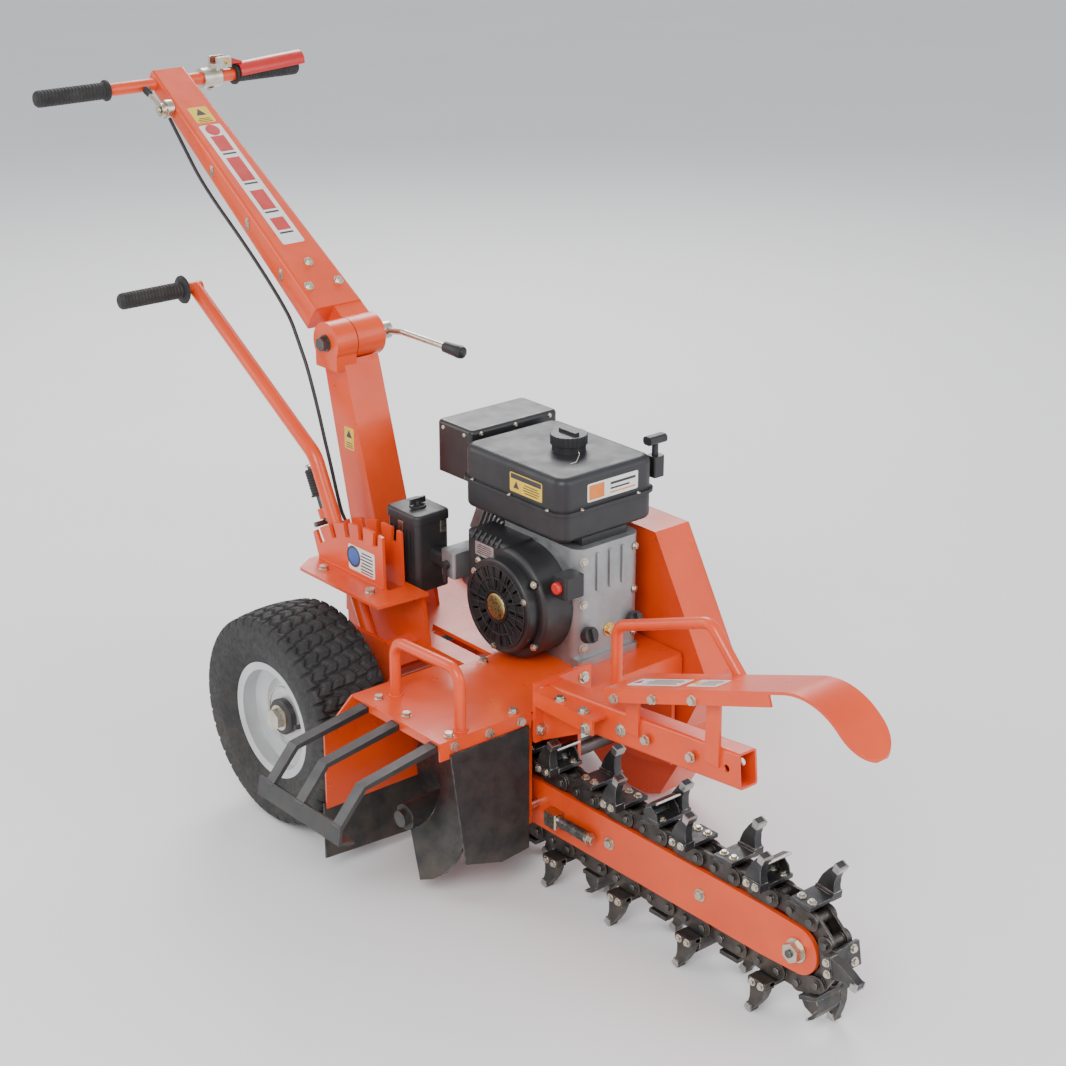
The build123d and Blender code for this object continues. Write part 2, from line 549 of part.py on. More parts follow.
# ---------------------------------------------------------------- chassis
RAIL_HEIGHT, RAIL_WIDTH = 40.0, 40.0
RAIL_WALL = 4.0
RAIL_RIGHT, RAIL_LEFT = -60.0, 150.0     # middle of each rail
RAIL_BACK = -100.0
PLATE_LEFT = 240.0
PLATE_THICK = 8.0
HANGER_THICK = 8.0
HANGER_Y = 132.0            # middle of each plate that carries the pivot tube
BEARING_RADIUS = 34.0
BEARING_PLATES = (-118.0, -4.0, 226.0)  # middle of each plate that carries the drive shaft
rail_top = DECK_Z - PLATE_THICK
with BuildPart() as chassis_frame:
    add(block((DECK_BACK - 180, DECK_FRONT), (-26, 176), (rail_top, DECK_Z), 4))
    add(block((TYRE_RADIUS + 12, DECK_FRONT), (150, PLATE_LEFT), (rail_top, DECK_Z), 4))
    for middle in (RAIL_RIGHT, RAIL_LEFT):
        add(block((RAIL_BACK, DECK_FRONT - 40), (middle - RAIL_WIDTH / 2, middle + RAIL_WIDTH / 2),
                  (rail_top - RAIL_HEIGHT, rail_top)))
        add(block((RAIL_BACK, DECK_FRONT - 40 - RAIL_WALL),
                  (middle - RAIL_WIDTH / 2 + RAIL_WALL, middle + RAIL_WIDTH / 2 - RAIL_WALL),
                  (rail_top - RAIL_HEIGHT + RAIL_WALL, rail_top - RAIL_WALL)), mode=Mode.SUBTRACT)
    add(block((DECK_FRONT - 40, DECK_FRONT), (RAIL_RIGHT - RAIL_WIDTH / 2, PLATE_LEFT),
              (rail_top - RAIL_HEIGHT, rail_top)))
    add(block((RAIL_BACK, RAIL_BACK + 40), (RAIL_RIGHT, RAIL_LEFT), (rail_top - RAIL_HEIGHT, rail_top)))
    # risers under the quadrant and the post
    riser_top = PLATFORM_Z - PLATFORM_THICK - 0.05
    for middle, riser_front in ((RAIL_RIGHT - RAIL_WIDTH / 2, 140), (48, 0)):
        add(side_plate([(RAIL_BACK, rail_top - 10), (riser_front + 20, rail_top - 10),
                        (riser_front, riser_top), (RAIL_BACK + 5, riser_top)], middle - 4, middle + 4))
    add(block((RAIL_BACK, DECK_BACK - 160), (RAIL_RIGHT, RAIL_LEFT), (rail_top - 14, rail_top)))
    add(block((RAIL_BACK, -5), (RAIL_RIGHT - RAIL_WIDTH / 2, 52), (PLATFORM_Z - 18, riser_top)))
    # hangers that carry the pivot tube
    for middle in (-HANGER_Y, HANGER_Y):
        add(side_plate([(PIVOT_X - 60, rail_top - RAIL_HEIGHT), (PIVOT_X - 30, PIVOT_Z - 26),
                        (PIVOT_X + 30, PIVOT_Z - 26), (PIVOT_X + 78, rail_top - RAIL_HEIGHT),
                        (PIVOT_X + 78, rail_top), (PIVOT_X - 60, rail_top)],
                       middle - HANGER_THICK / 2, middle + HANGER_THICK / 2))
    add(block((PIVOT_X + 42, PIVOT_X + 78), (-136, RAIL_RIGHT), (rail_top - 40, rail_top)))
    # plates that carry the drive shaft's bearings
    for middle in BEARING_PLATES:
        add(side_plate([(SHAFT_X - 48, BOOM_Z - 44), (SHAFT_X + 40, BOOM_Z - 44),
                        (BOOM_BOLTS[1] + 16, BOOM_Z - 26), (BOOM_BOLTS[1] + 16, BOOM_Z + 30),
                        (DECK_FRONT - 6, rail_top), (SHAFT_X - 60, rail_top)],
                       middle - HANGER_THICK / 2, middle + HANGER_THICK / 2))
    add(block((SHAFT_X - 60, DECK_FRONT), (-120, RAIL_RIGHT), (rail_top - 12, rail_top)))
    for middle in BEARING_PLATES:
        add(shaft(SHAFT_X, BOOM_Z, middle - 12, middle + 12, SHAFT_RADIUS + RUNNING_GAP), mode=Mode.SUBTRACT)
    for middle in BEARING_PLATES[:2]:
        for bolt_x in BOOM_BOLTS:
            add(shaft(bolt_x, BOOM_Z, middle - 12, middle + 12, BOOM_BOLT_RADIUS), mode=Mode.SUBTRACT)
    for middle in (-HANGER_Y, HANGER_Y):
        add(shaft(PIVOT_X, PIVOT_Z, middle - 12, middle + 12, PIVOT_RADIUS + RUNNING_GAP),
            mode=Mode.SUBTRACT)
    # bridge that carries the second shaft of the belt drive
    jack_side = BEARING_PLATES[2]
    add(side_plate([(JACK_X - 34, JACK_Z - 34), (JACK_X + 34, JACK_Z - 34), (JACK_X + 34, rail_top),
                    (JACK_X - 34, rail_top)], jack_side - HANGER_THICK / 2, jack_side + HANGER_THICK / 2))
    add(shaft(JACK_X, JACK_Z, 205, 245, 12 + RUNNING_GAP), mode=Mode.SUBTRACT)
chassis_frame.part.label = "chassis_frame"
export_step(chassis_frame.part, "parts/chassis_frame.step")

with BuildPart() as deck_panel:
    add(block((DECK_BACK, DECK_FRONT), (DECK_RIGHT, -26), (DECK_Z - SHEET, DECK_Z), 3))
    add(block((DECK_FRONT - SHEET, DECK_FRONT), (DECK_RIGHT, -120.5), (DECK_Z - 34, DECK_Z - SHEET)))
    add(block((DECK_BACK, DECK_FRONT), (DECK_RIGHT, DECK_RIGHT + SHEET), (DECK_Z - 16, DECK_Z - SHEET)))
deck_panel.part.label = "deck_panel"
export_step(deck_panel.part, "parts/deck_panel.step")

PANEL_X = 238.0
PANEL_RIGHT = -378.0
PANEL_LOW = 138.0
with BuildPart() as auger_rear_panel:
    with BuildSketch(cross_plane(PANEL_X)):
        with BuildLine():
            Polyline((-121, PANEL_LOW), (-121, DECK_Z - SHEET - 0.1), (DECK_RIGHT + 4, DECK_Z - SHEET - 0.1),
                     (PANEL_RIGHT, 286), (PANEL_RIGHT, PANEL_LOW), close=True)
        make_face()
        with Locations((BOOM_Y - 60, BOOM_Z)):
            Rectangle(20, 60, mode=Mode.SUBTRACT)
    extrude(amount=SHEET)
    add(block((PANEL_X, DECK_BACK + 26), (DECK_RIGHT + 4, -121), (DECK_Z - 8, DECK_Z - SHEET - 0.1)))
auger_rear_panel.part.label = "auger_rear_panel"
export_step(auger_rear_panel.part, "parts/auger_rear_panel.step")

with BuildPart() as auger_wear_plates:
    # skirt below the rear panel, and the scraper plate in front of the auger
    with BuildSketch(cross_plane(PANEL_X - 3.1)):
        with BuildLine():
            Polyline((PANEL_RIGHT - 4, 38), (-130, 24), (-130, PANEL_LOW + 22),
                     (PANEL_RIGHT - 4, PANEL_LOW + 10), close=True)
        make_face()
    extrude(amount=3)
    with BuildSketch(cross_plane(DECK_FRONT + 0.1)):
        with BuildLine():
            Polyline((-300, DECK_Z - 26), (-270, 98), (-190, 74), (-128, 80), (-128, DECK_Z - 26), close=True)
        make_face()
    extrude(amount=3)
auger_wear_plates.part.label = "auger_wear_plates"
export_step(auger_wear_plates.part, "parts/auger_wear_plates.step")

CAGE_BARS = (284.0, 372.0, 478.0)
CAGE_OUT = -472.0
CAGE_END = (-524.0, 256.0)
with BuildPart() as auger_cage:
    for bar_x in CAGE_BARS:
        with BuildSketch(cross_plane(bar_x - 11)):
            with BuildLine():
                Polyline((DECK_RIGHT - 0.05, DECK_Z - SHEET - 1), (CAGE_OUT, DECK_Z - 30), CAGE_END,
                         (CAGE_END[0] + 7, CAGE_END[1] - 4), (CAGE_OUT + 4, DECK_Z - 38),
                         (DECK_RIGHT - 0.05, DECK_Z - 16), close=True)
            make_face()
        extrude(amount=22)
    with BuildSketch(cross_plane(CAGE_BARS[0] - 30)):
        with BuildLine():
            Polyline((CAGE_END[0] + 2, CAGE_END[1] + 4), (CAGE_END[0] - 4, CAGE_END[1] - 30),
                     (CAGE_END[0] + 28, CAGE_END[1] - 38), (CAGE_END[0] + 28, CAGE_END[1] - 33),
                     (CAGE_END[0] + 2, CAGE_END[1] - 26), (CAGE_END[0] + 7, CAGE_END[1] + 3), close=True)
        make_face()
    extrude(amount=CAGE_BARS[2] - CAGE_BARS[0] + 42)
auger_cage.part.label = "auger_cage"
export_step(auger_cage.part, "parts/auger_cage.step")

# ---------------------------------------------------------------- front frame and guard
TUBE_HEIGHT, TUBE_WIDTH, TUBE_WALL = 62.0, 40.0, 4.0
TUBE_TILT = 5.7
TUBE_FRONT_X = 962.0
TUBE_Y = -70.0
TUBE_BACK_X = DECK_FRONT + 0.1
GUARD_Y = (-115.0, -25.0)
GUARD_BACK = (672.0, 447.0)
GUARD_TILT = 19.3
GUARD_LENGTH = 418.0
GUARD_THICK = 5.0


def tube_z(x):
    """Height of the front tube's middle at x."""
    return 372.0 + (x - 671.0) * tan(radians(TUBE_TILT))


def guard_z(x):
    """Height of the guard plate's upper face at x."""
    return GUARD_BACK[1] + (x - GUARD_BACK[0]) * tan(radians(GUARD_TILT))


LOOP_RADIUS = 10.0
LOOP_BEND = 28.0
loop_y = GUARD_Y[1] + LOOP_RADIUS + 0.1
LUG_X = 595.0
lug_top = tube_z(LUG_X) + TUBE_HEIGHT / 2
tube_run = Vector(cos(radians(TUBE_TILT)), 0, sin(radians(TUBE_TILT)))
with BuildPart() as front_frame:
    tube_length = (TUBE_FRONT_X - TUBE_BACK_X) / cos(radians(TUBE_TILT))
    with BuildSketch(Plane(origin=spot(TUBE_BACK_X, TUBE_Y, tube_z(TUBE_BACK_X)), x_dir=(0, 1, 0),
                           z_dir=tube_run)):
        RectangleRounded(TUBE_WIDTH, TUBE_HEIGHT, 6)
        RectangleRounded(TUBE_WIDTH - 2 * TUBE_WALL, TUBE_HEIGHT - 2 * TUBE_WALL, 3, mode=Mode.SUBTRACT)
    extrude(amount=tube_length)
    # foot plate on the cross member, and the angle on the near side
    add(block((TUBE_BACK_X, TUBE_BACK_X + 8), (-118, 10), (284, 396)))
    add(block((TUBE_BACK_X + 8, TUBE_BACK_X + 160), (-124, -90), (381, 386)))
    add(block((TUBE_BACK_X + 8, TUBE_BACK_X + 160), (-124, -119), (358, 381)))
    # gussets down to the boom's root
    for gusset_y in (-100, TUBE_Y + 22):
        add(side_plate([(TUBE_BACK_X + 4, 282), (TUBE_BACK_X + 110, 336), (TUBE_BACK_X + 110, 352),
                        (TUBE_BACK_X + 4, 345)], gusset_y, gusset_y + 8))
    # struts from the tube's sides up to the guard plate
    add(block((LUG_X - 22, LUG_X + 22), (TUBE_Y, loop_y + LOOP_RADIUS), (lug_top - 10, lug_top)))
    for strut_x in (720.0, 905.0):
        add(side_plate([(strut_x - 16, tube_z(strut_x)), (strut_x + 16, tube_z(strut_x)),
                        (strut_x + 14, guard_z(strut_x + 14) - GUARD_THICK - 3.6),
                        (strut_x - 14, guard_z(strut_x - 14) - GUARD_THICK - 3.6)],
                       TUBE_Y - TUBE_WIDTH / 2 - 5, TUBE_Y - TUBE_WIDTH / 2 + 0.5))
    add(shaft(TUBE_FRONT_X - 28, tube_z(TUBE_FRONT_X - 28), TUBE_Y - 30, TUBE_Y + 30, 6.5),
        mode=Mode.SUBTRACT)
front_frame.part.label = "front_frame"
export_step(front_frame.part, "parts/front_frame.step")

guard_run = Vector(cos(radians(GUARD_TILT)), 0, sin(radians(GUARD_TILT)))
TONGUE_RADIUS = 118.0
TONGUE_TURN = 58.0
TONGUE_RUN = 66.0
guard_width = GUARD_Y[1] - GUARD_Y[0]
with BuildPart() as guard_plate:
    with BuildSketch(side_plane(GUARD_Y[1])):
        with BuildLine():
            slope = Line(GUARD_BACK, (GUARD_BACK[0] + GUARD_LENGTH * guard_run.X,
                                      GUARD_BACK[1] + GUARD_LENGTH * guard_run.Z))
            brow = JernArc(slope @ 1, slope % 1, TONGUE_RADIUS, -TONGUE_TURN)
            tongue = Line(brow @ 1, brow @ 1 + brow % 1 * TONGUE_RUN)
        trace(line_width=GUARD_THICK)
    extrude(amount=guard_width)
    with BuildSketch(floor_plane(300)):
        tip_x = (tongue @ 1).X - guard_width / 2
        back_x = GUARD_BACK[0] - 5
        with Locations(((back_x + tip_x) / 2, sum(GUARD_Y) / 2)):
            Rectangle(tip_x - back_x, guard_width)
        with Locations((tip_x, sum(GUARD_Y) / 2)):
            Circle(guard_width / 2)
    extrude(amount=400, mode=Mode.INTERSECT)
    # folded edge below the near side of the sloping part
    with BuildSketch(side_plane(GUARD_Y[0] + 4)):
        with BuildLine():
            low = Vector(guard_run.Z, -guard_run.X) * (GUARD_THICK / 2 - 0.2)
            deep = low + Vector(guard_run.Z, -guard_run.X) * 20
            Polyline(slope @ 0 + low, slope @ 0.93 + low, slope @ 0.93 + deep, slope @ 0 + deep, close=True)
        make_face()
    extrude(amount=4)
guard_plate.part.label = "guard_plate"
export_step(guard_plate.part, "parts/guard_plate.step")

deck_loop = [(DECK_BACK + 22, -262, DECK_Z + 0.05), (DECK_BACK + 22, -262, DECK_Z + 104),
             (DECK_FRONT - 18, -262, DECK_Z + 112), (DECK_FRONT - 18, -262, DECK_Z + 0.05)]
guard_loop = [(LUG_X, loop_y, lug_top + 0.05), (LUG_X, loop_y, lug_top + 112),
              (816, loop_y, 588), (892, loop_y, guard_z(892) - 12)]
with BuildPart() as lifting_loops:
    for route in (deck_loop, guard_loop):
        add(round_tube(route, LOOP_BEND, LOOP_RADIUS))
lifting_loops.part.label = "lifting_loops"
export_step(lifting_loops.part, "parts/lifting_loops.step")

# ---------------------------------------------------------------- boom, chain and auger
half_boom = BOOM_THICK / 2
with BuildPart() as boom:
    for outer in (BOOM_Y - half_boom + BOOM_CHEEK, BOOM_Y + half_boom):
        with BuildSketch(side_plane(outer)):
            nose_half = BOOM_HEIGHT / 2
            with BuildLine():
                Polyline((NOSE_X, BOOM_Z - NOSE_RADIUS), (BOOM_BAR_FRONT, BOOM_Z - nose_half),
                         (BOOM_BACK, BOOM_Z - nose_half), (BOOM_BACK, BOOM_Z + nose_half),
                         (BOOM_BAR_FRONT, BOOM_Z + nose_half), (NOSE_X, BOOM_Z + NOSE_RADIUS))
                ThreePointArc((NOSE_X, BOOM_Z + NOSE_RADIUS), (NOSE_X + NOSE_RADIUS, BOOM_Z),
                              (NOSE_X, BOOM_Z - NOSE_RADIUS))
            make_face()
            with Locations((NOSE_X, BOOM_Z)):
                Circle(NOSE_BOLT_RADIUS, mode=Mode.SUBTRACT)
        extrude(amount=BOOM_CHEEK)
    add(block((BOOM_BACK, BOOM_BAR_FRONT), (BOOM_Y - half_boom + 1, BOOM_Y + half_boom - 1),
              (BOOM_Z - BOOM_HEIGHT / 2 + 6, BOOM_Z + BOOM_HEIGHT / 2 - 6)))
    add(block((BOOM_BACK + 6, BOOM_BAR_FRONT - 6),
              (BOOM_Y - half_boom + BOOM_CHEEK, BOOM_Y + half_boom - BOOM_CHEEK),
              (BOOM_Z - BOOM_HEIGHT / 2 + 12, BOOM_Z + BOOM_HEIGHT / 2 - 12)), mode=Mode.SUBTRACT)
    for bolt_x in BOOM_BOLTS:
        add(shaft(bolt_x, BOOM_Z, BOOM_Y - 40, BOOM_Y + 40, BOOM_BOLT_RADIUS), mode=Mode.SUBTRACT)
boom.part.label = "boom"
export_step(boom.part, "parts/boom.step")

ROLLER_RADIUS = 10.0
LINK_GAP = 25.0             # between a link's inner plates
LINK_PLATE = 5.0
LINK_HEIGHT = 30.0
PIN_RADIUS = 6.0
hub_radius = CHAIN_RADIUS - ROLLER_RADIUS - BODY_GAP


def toothed_disc(x, z, y, width, bore):
    """Sprocket disc with scalloped teeth that stay inside the chain's rollers."""
    with BuildPart(mode=Mode.PRIVATE) as made:
        with BuildSketch(side_plane(y + width / 2)):
            with Locations((x, z)):
                Circle(hub_radius)
                with PolarLocations(hub_radius + 6, CHAIN_TEETH):
                    Circle(ROLLER_RADIUS + 1, mode=Mode.SUBTRACT)
                Circle(bore, mode=Mode.SUBTRACT)
        extrude(amount=width)
    return made.part


with BuildPart() as nose_roller:
    add(toothed_disc(NOSE_X, BOOM_Z, BOOM_Y, 18, NOSE_BOLT_RADIUS + RUNNING_GAP))
    inner_half = half_boom - BOOM_CHEEK - BODY_GAP
    add(shaft(NOSE_X, BOOM_Z, BOOM_Y - inner_half, BOOM_Y + inner_half, 24, NOSE_BOLT_RADIUS + RUNNING_GAP))
nose_roller.part.label = "nose_roller"
export_step(nose_roller.part, "parts/nose_roller.step")

with BuildPart() as boom_bolts:
    add(shaft(NOSE_X, BOOM_Z, BOOM_Y - half_boom, BOOM_Y + half_boom, NOSE_BOLT_RADIUS))
    for side in (-1, 1):
        add(hex_head(facing((NOSE_X, BOOM_Y + side * half_boom, BOOM_Z), (0, side, 0)), 30, 14))
    for bolt_x in BOOM_BOLTS:
        right, left = BEARING_PLATES[0] - HANGER_THICK / 2, BEARING_PLATES[1] + HANGER_THICK / 2
        add(shaft(bolt_x, BOOM_Z, right, left, BOOM_BOLT_RADIUS))
        add(hex_head(facing((bolt_x, right, BOOM_Z), (0, -1, 0)), 22, 9))
        add(hex_head(facing((bolt_x, left, BOOM_Z), (0, 1, 0)), 22, 9))
    # chain tension screw in its boss on the near cheek
    screw_y = BOOM_Y - half_boom - 11.05
    add(round_tube([(SHAFT_X + 178, screw_y, BOOM_Z - 4), (SHAFT_X + 262, screw_y, BOOM_Z - 4)], 0, 9))
    add(block((SHAFT_X + 150, SHAFT_X + 182), (screw_y - 11, screw_y + 11), (BOOM_Z - 18, BOOM_Z + 10), 3))
boom_bolts.part.label = "boom_bolts"
export_step(boom_bolts.part, "parts/boom_bolts.step")

LINK_COUNT = round(2 * STRAIGHT_PITCHES + CHAIN_TEETH)


def chain_pin(index):
    """Place of a chain pin as (x, z), counted forward along the chain's upper run."""
    step = index % LINK_COUNT
    turn = 360 / CHAIN_TEETH
    if step <= STRAIGHT_PITCHES:
        return (SHAFT_X + step * CHAIN_PITCH, BOOM_Z + CHAIN_RADIUS)
    nose_steps = step - STRAIGHT_PITCHES
    if nose_steps <= CHAIN_TEETH / 2:
        angle = radians(nose_steps * turn)
        return (NOSE_X + CHAIN_RADIUS * sin(angle), BOOM_Z + CHAIN_RADIUS * cos(angle))
    low_steps = nose_steps - CHAIN_TEETH / 2
    if low_steps <= STRAIGHT_PITCHES:
        return (NOSE_X - low_steps * CHAIN_PITCH, BOOM_Z - CHAIN_RADIUS)
    angle = radians((low_steps - STRAIGHT_PITCHES) * turn)
    return (SHAFT_X - CHAIN_RADIUS * sin(angle), BOOM_Z - CHAIN_RADIUS * cos(angle))


def link_location(index):
    """Frame of a link: origin midway between its pins, x along the chain, y outward from the loop."""
    start, end = chain_pin(index), chain_pin(index + 1)
    ahead = Vector(end[0] - start[0], 0, end[1] - start[1]).normalized()
    middle = spot((start[0] + end[0]) / 2, BOOM_Y, (start[1] + end[1]) / 2)
    return Plane(origin=middle, x_dir=ahead, z_dir=(0, -1, 0)).location


def side_bar(offset_z):
    """Flat bar of a link with rounded ends, in the link's own frame."""
    with BuildPart(mode=Mode.PRIVATE) as made:
        with BuildSketch(Plane.XY.offset(offset_z)):
            SlotCenterToCenter(CHAIN_PITCH - 0.6, LINK_HEIGHT)
        extrude(amount=LINK_PLATE)
    return made.part


def cylinders(radius, length, bore=0.0):
    """The two pins or bushes of a link, in the link's own frame."""
    with BuildPart(mode=Mode.PRIVATE) as made:
        with BuildSketch(Plane.XY.offset(-length / 2)):
            with GridLocations(CHAIN_PITCH - 0.6, 1, 2, 1):
                Circle(radius)
                if bore:
                    Circle(bore, mode=Mode.SUBTRACT)
        extrude(amount=length)
    return made.part


pin_length = LINK_GAP + 4 * LINK_PLATE + 4 * BODY_GAP + 6
with BuildPart() as outer_link:
    add(side_bar(LINK_GAP / 2 + LINK_PLATE + BODY_GAP))
    add(side_bar(-LINK_GAP / 2 - 2 * LINK_PLATE - BODY_GAP))
    add(cylinders(PIN_RADIUS, pin_length))

with BuildPart() as inner_link:
    add(side_bar(LINK_GAP / 2))
    add(side_bar(-LINK_GAP / 2 - LINK_PLATE))
    add(cylinders(ROLLER_RADIUS, LINK_GAP, PIN_RADIUS + 1.2))
    add(cylinders(PIN_RADIUS + 1.2, LINK_GAP + 3 * LINK_PLATE), mode=Mode.SUBTRACT)

with BuildPart() as chain_links:
    for index in range(LINK_COUNT):
        link = outer_link if index % 2 else inner_link
        add(link.part.moved(link_location(index)))
chain_links.part.label = "chain_links"
export_step(chain_links.part, "parts/chain_links.step")

# cutters: a saddle bolted over every outer link and a raked tooth, on alternate sides
TOOTH_REACH = BOOM_Z - CHAIN_RADIUS
SADDLE_HIGH = LINK_HEIGHT / 2 + 8
TOOTH_SIDE = 37.0


def cutter(side):
    """Cutter in the link's own frame, with its tooth on one side of the chain."""
    with BuildPart(mode=Mode.PRIVATE) as made:
        half_pin = pin_length / 2
        with BuildSketch(Plane.XY.offset(-half_pin)):
            with Locations((0, LINK_HEIGHT / 2 + 4.1)):
                Rectangle(CHAIN_PITCH - 2, 8)
        extrude(amount=2 * half_pin)
        with BuildSketch(Plane.XY.offset(side * TOOTH_SIDE - 11)):
            with BuildLine():
                Polyline((-19, SADDLE_HIGH - 2), (-8, TOOTH_REACH - 30), (12, TOOTH_REACH),
                         (27, TOOTH_REACH - 6), (17, TOOTH_REACH - 26), (19, SADDLE_HIGH - 2), close=True)
            make_face()
        extrude(amount=22)
        with BuildSketch(Plane.XY.offset(min(0, side * TOOTH_SIDE))):
            with Locations((0, SADDLE_HIGH)):
                Rectangle(38, 7)
        extrude(amount=TOOTH_SIDE)
    return made.part


with BuildPart() as chain_cutters:
    for index in range(1, LINK_COUNT, 2):
        side = 1 if index % 4 == 1 else -1
        add(cutter(side).moved(link_location(index)))
chain_cutters.part.label = "chain_cutters"
export_step(chain_cutters.part, "parts/chain_cutters.step")

with BuildPart() as drive_shaft:
    add(shaft(SHAFT_X, BOOM_Z, AUGER_RIGHT - 12, 322, SHAFT_RADIUS))
drive_shaft.part.label = "drive_shaft"
export_step(drive_shaft.part, "parts/drive_shaft.step")

AUGER_TURN = 330.0
AUGER_HUB = 24.0
AUGER_START = -75.0
AUGER_BLADE = 6.0
AUGER_STEPS = 22
with BuildPart() as auger_flight:
    add(shaft(SHAFT_X, BOOM_Z, AUGER_RIGHT, AUGER_LEFT, AUGER_HUB))
    blade_pitch = (AUGER_LEFT - AUGER_RIGHT - 20) * 360 / AUGER_TURN
    for step in range(AUGER_STEPS + 1):
        angle = step * AUGER_TURN / AUGER_STEPS + AUGER_START
        out = Vector(cos(radians(angle)), 0, sin(radians(angle)))
        along = AUGER_RIGHT + 10 + step * (AUGER_LEFT - AUGER_RIGHT - 20) / AUGER_STEPS
        centre = spot(SHAFT_X, along, BOOM_Z)
        with BuildSketch(Plane(origin=centre, x_dir=out, z_dir=out.cross(Vector(0, 1, 0)))):
            with Locations(((AUGER_HUB - 4 + AUGER_RADIUS) / 2, 0)):
                Rectangle(AUGER_RADIUS - AUGER_HUB + 4, AUGER_BLADE)
    loft(ruled=True)
    add(shaft(SHAFT_X, BOOM_Z, AUGER_RIGHT - 20, AUGER_LEFT + 20, SHAFT_RADIUS), mode=Mode.SUBTRACT)
auger_flight.part.label = "auger_flight"
export_step(auger_flight.part, "parts/auger_flight.step")

# ---------------------------------------------------------------- engine
ENGINE_BASE = DECK_Z + 0.1
CASE_X = (CRANK_X - 98.0, CRANK_X + 118.0)
CASE_Y = (52.0, 205.0)
CASE_TOP = CRANK_Z + 118.0
CASE_WALL = 8.0
with BuildPart() as crankcase:
    add(block(CASE_X, CASE_Y, (ENGINE_BASE + 12, CASE_TOP), 24))
    add(block((CASE_X[0] - 10, CASE_X[1] + 10), (CASE_Y[0], CASE_Y[1] - 12),
              (ENGINE_BASE, ENGINE_BASE + 14), 8))
    add(block((CASE_X[0] + CASE_WALL, CASE_X[1] - CASE_WALL), (CASE_Y[0] + CASE_WALL, CASE_Y[1] - CASE_WALL),
              (ENGINE_BASE + 12 + CASE_WALL, CASE_TOP - CASE_WALL), 18), mode=Mode.SUBTRACT)
    add(shaft(CRANK_X, CRANK_Z, CASE_Y[1] - 2, CASE_Y[1] + 12, 62))
    add(shaft(CRANK_X, CRANK_Z, CASE_Y[0] - 30, CASE_Y[1] + 30, CRANK_RADIUS + RUNNING_GAP),
        mode=Mode.SUBTRACT)
crankcase.part.label = "crankcase"
export_step(crankcase.part, "parts/crankcase.step")

HEAD_TILT = 25.0
HEAD_Y = 128.0
HEAD_LENGTH = 112.0
FIN_COUNT = 7
head_way = Vector(-cos(radians(HEAD_TILT)), 0, sin(radians(HEAD_TILT)))
with BuildPart() as cylinder_head:
    root = Vector(CASE_X[0] + 2, HEAD_Y, CRANK_Z + 46)
    head_plane = Plane(origin=spot(root.X, root.Y, root.Z), x_dir=(0, 1, 0), z_dir=head_way)
    with BuildSketch(head_plane):
        RectangleRounded(96, 76, 8)
    extrude(amount=HEAD_LENGTH)
    for fin in range(FIN_COUNT):
        with BuildSketch(head_plane.offset(26 + fin * 10)):
            RectangleRounded(124, 96, 10)
        extrude(amount=3.5)
    with BuildSketch(head_plane.offset(HEAD_LENGTH - 14)):
        RectangleRounded(104, 84, 8)
    extrude(amount=18)
    add(block((CASE_X[0], CASE_X[1]), (CASE_Y[0] - 40, CASE_Y[1] + 40), (ENGINE_BASE, CASE_TOP + 40)),
        mode=Mode.SUBTRACT)
cylinder_head.part.label = "cylinder_head"
export_step(cylinder_head.part, "parts/cylinder_head.step")

FAN_RADIUS = 104.0
FAN_BACK = CASE_Y[0] - 0.1
with BuildPart() as fan_housing:
    with BuildSketch(side_plane(FAN_BACK)):
        with Locations((CRANK_X, CRANK_Z)):
            Circle(FAN_RADIUS)
        with Locations((CRANK_X - 60, CRANK_Z + 62)):
            Rectangle(110, 92)
    extrude(amount=FAN_BACK - (RECOIL_Y + 24))
    fillet(fan_housing.edges().group_by(Axis.Y)[0], radius=9)
    with BuildSketch(side_plane(FAN_BACK + 1)):
        with Locations((CRANK_X, CRANK_Z)):
            Circle(FAN_RADIUS - 7)
    extrude(amount=FAN_BACK + 1 - (RECOIL_Y + 32), mode=Mode.SUBTRACT)
    with BuildSketch(side_plane(FAN_BACK)):
        with Locations((CRANK_X, CRANK_Z)):
            Circle(FAN_RADIUS - 26)
    extrude(amount=120, mode=Mode.SUBTRACT)
fan_housing.part.label = "fan_housing"
export_step(fan_housing.part, "parts/fan_housing.step")

RECOIL_RADIUS = 88.0
with BuildPart() as recoil_cover:
    add(shaft(CRANK_X, CRANK_Z, RECOIL_Y, RECOIL_Y + 24 - 0.1, RECOIL_RADIUS, RECOIL_RADIUS - 5))
    add(shaft(CRANK_X, CRANK_Z, RECOIL_Y, RECOIL_Y + 5, RECOIL_RADIUS))
    with BuildSketch(side_plane(RECOIL_Y + 5)):
        with Locations((CRANK_X, CRANK_Z)):
            for ring, count in ((34, 12), (56, 18)):
                with PolarLocations(ring + 9, count):
                    SlotOverall(17, 5)
    extrude(amount=5, mode=Mode.SUBTRACT)
    fillet(recoil_cover.edges().group_by(Axis.Y)[0].sort_by(SortBy.LENGTH)[-1], radius=4)
recoil_cover.part.label = "recoil_cover"
export_step(recoil_cover.part, "parts/recoil_cover.step")

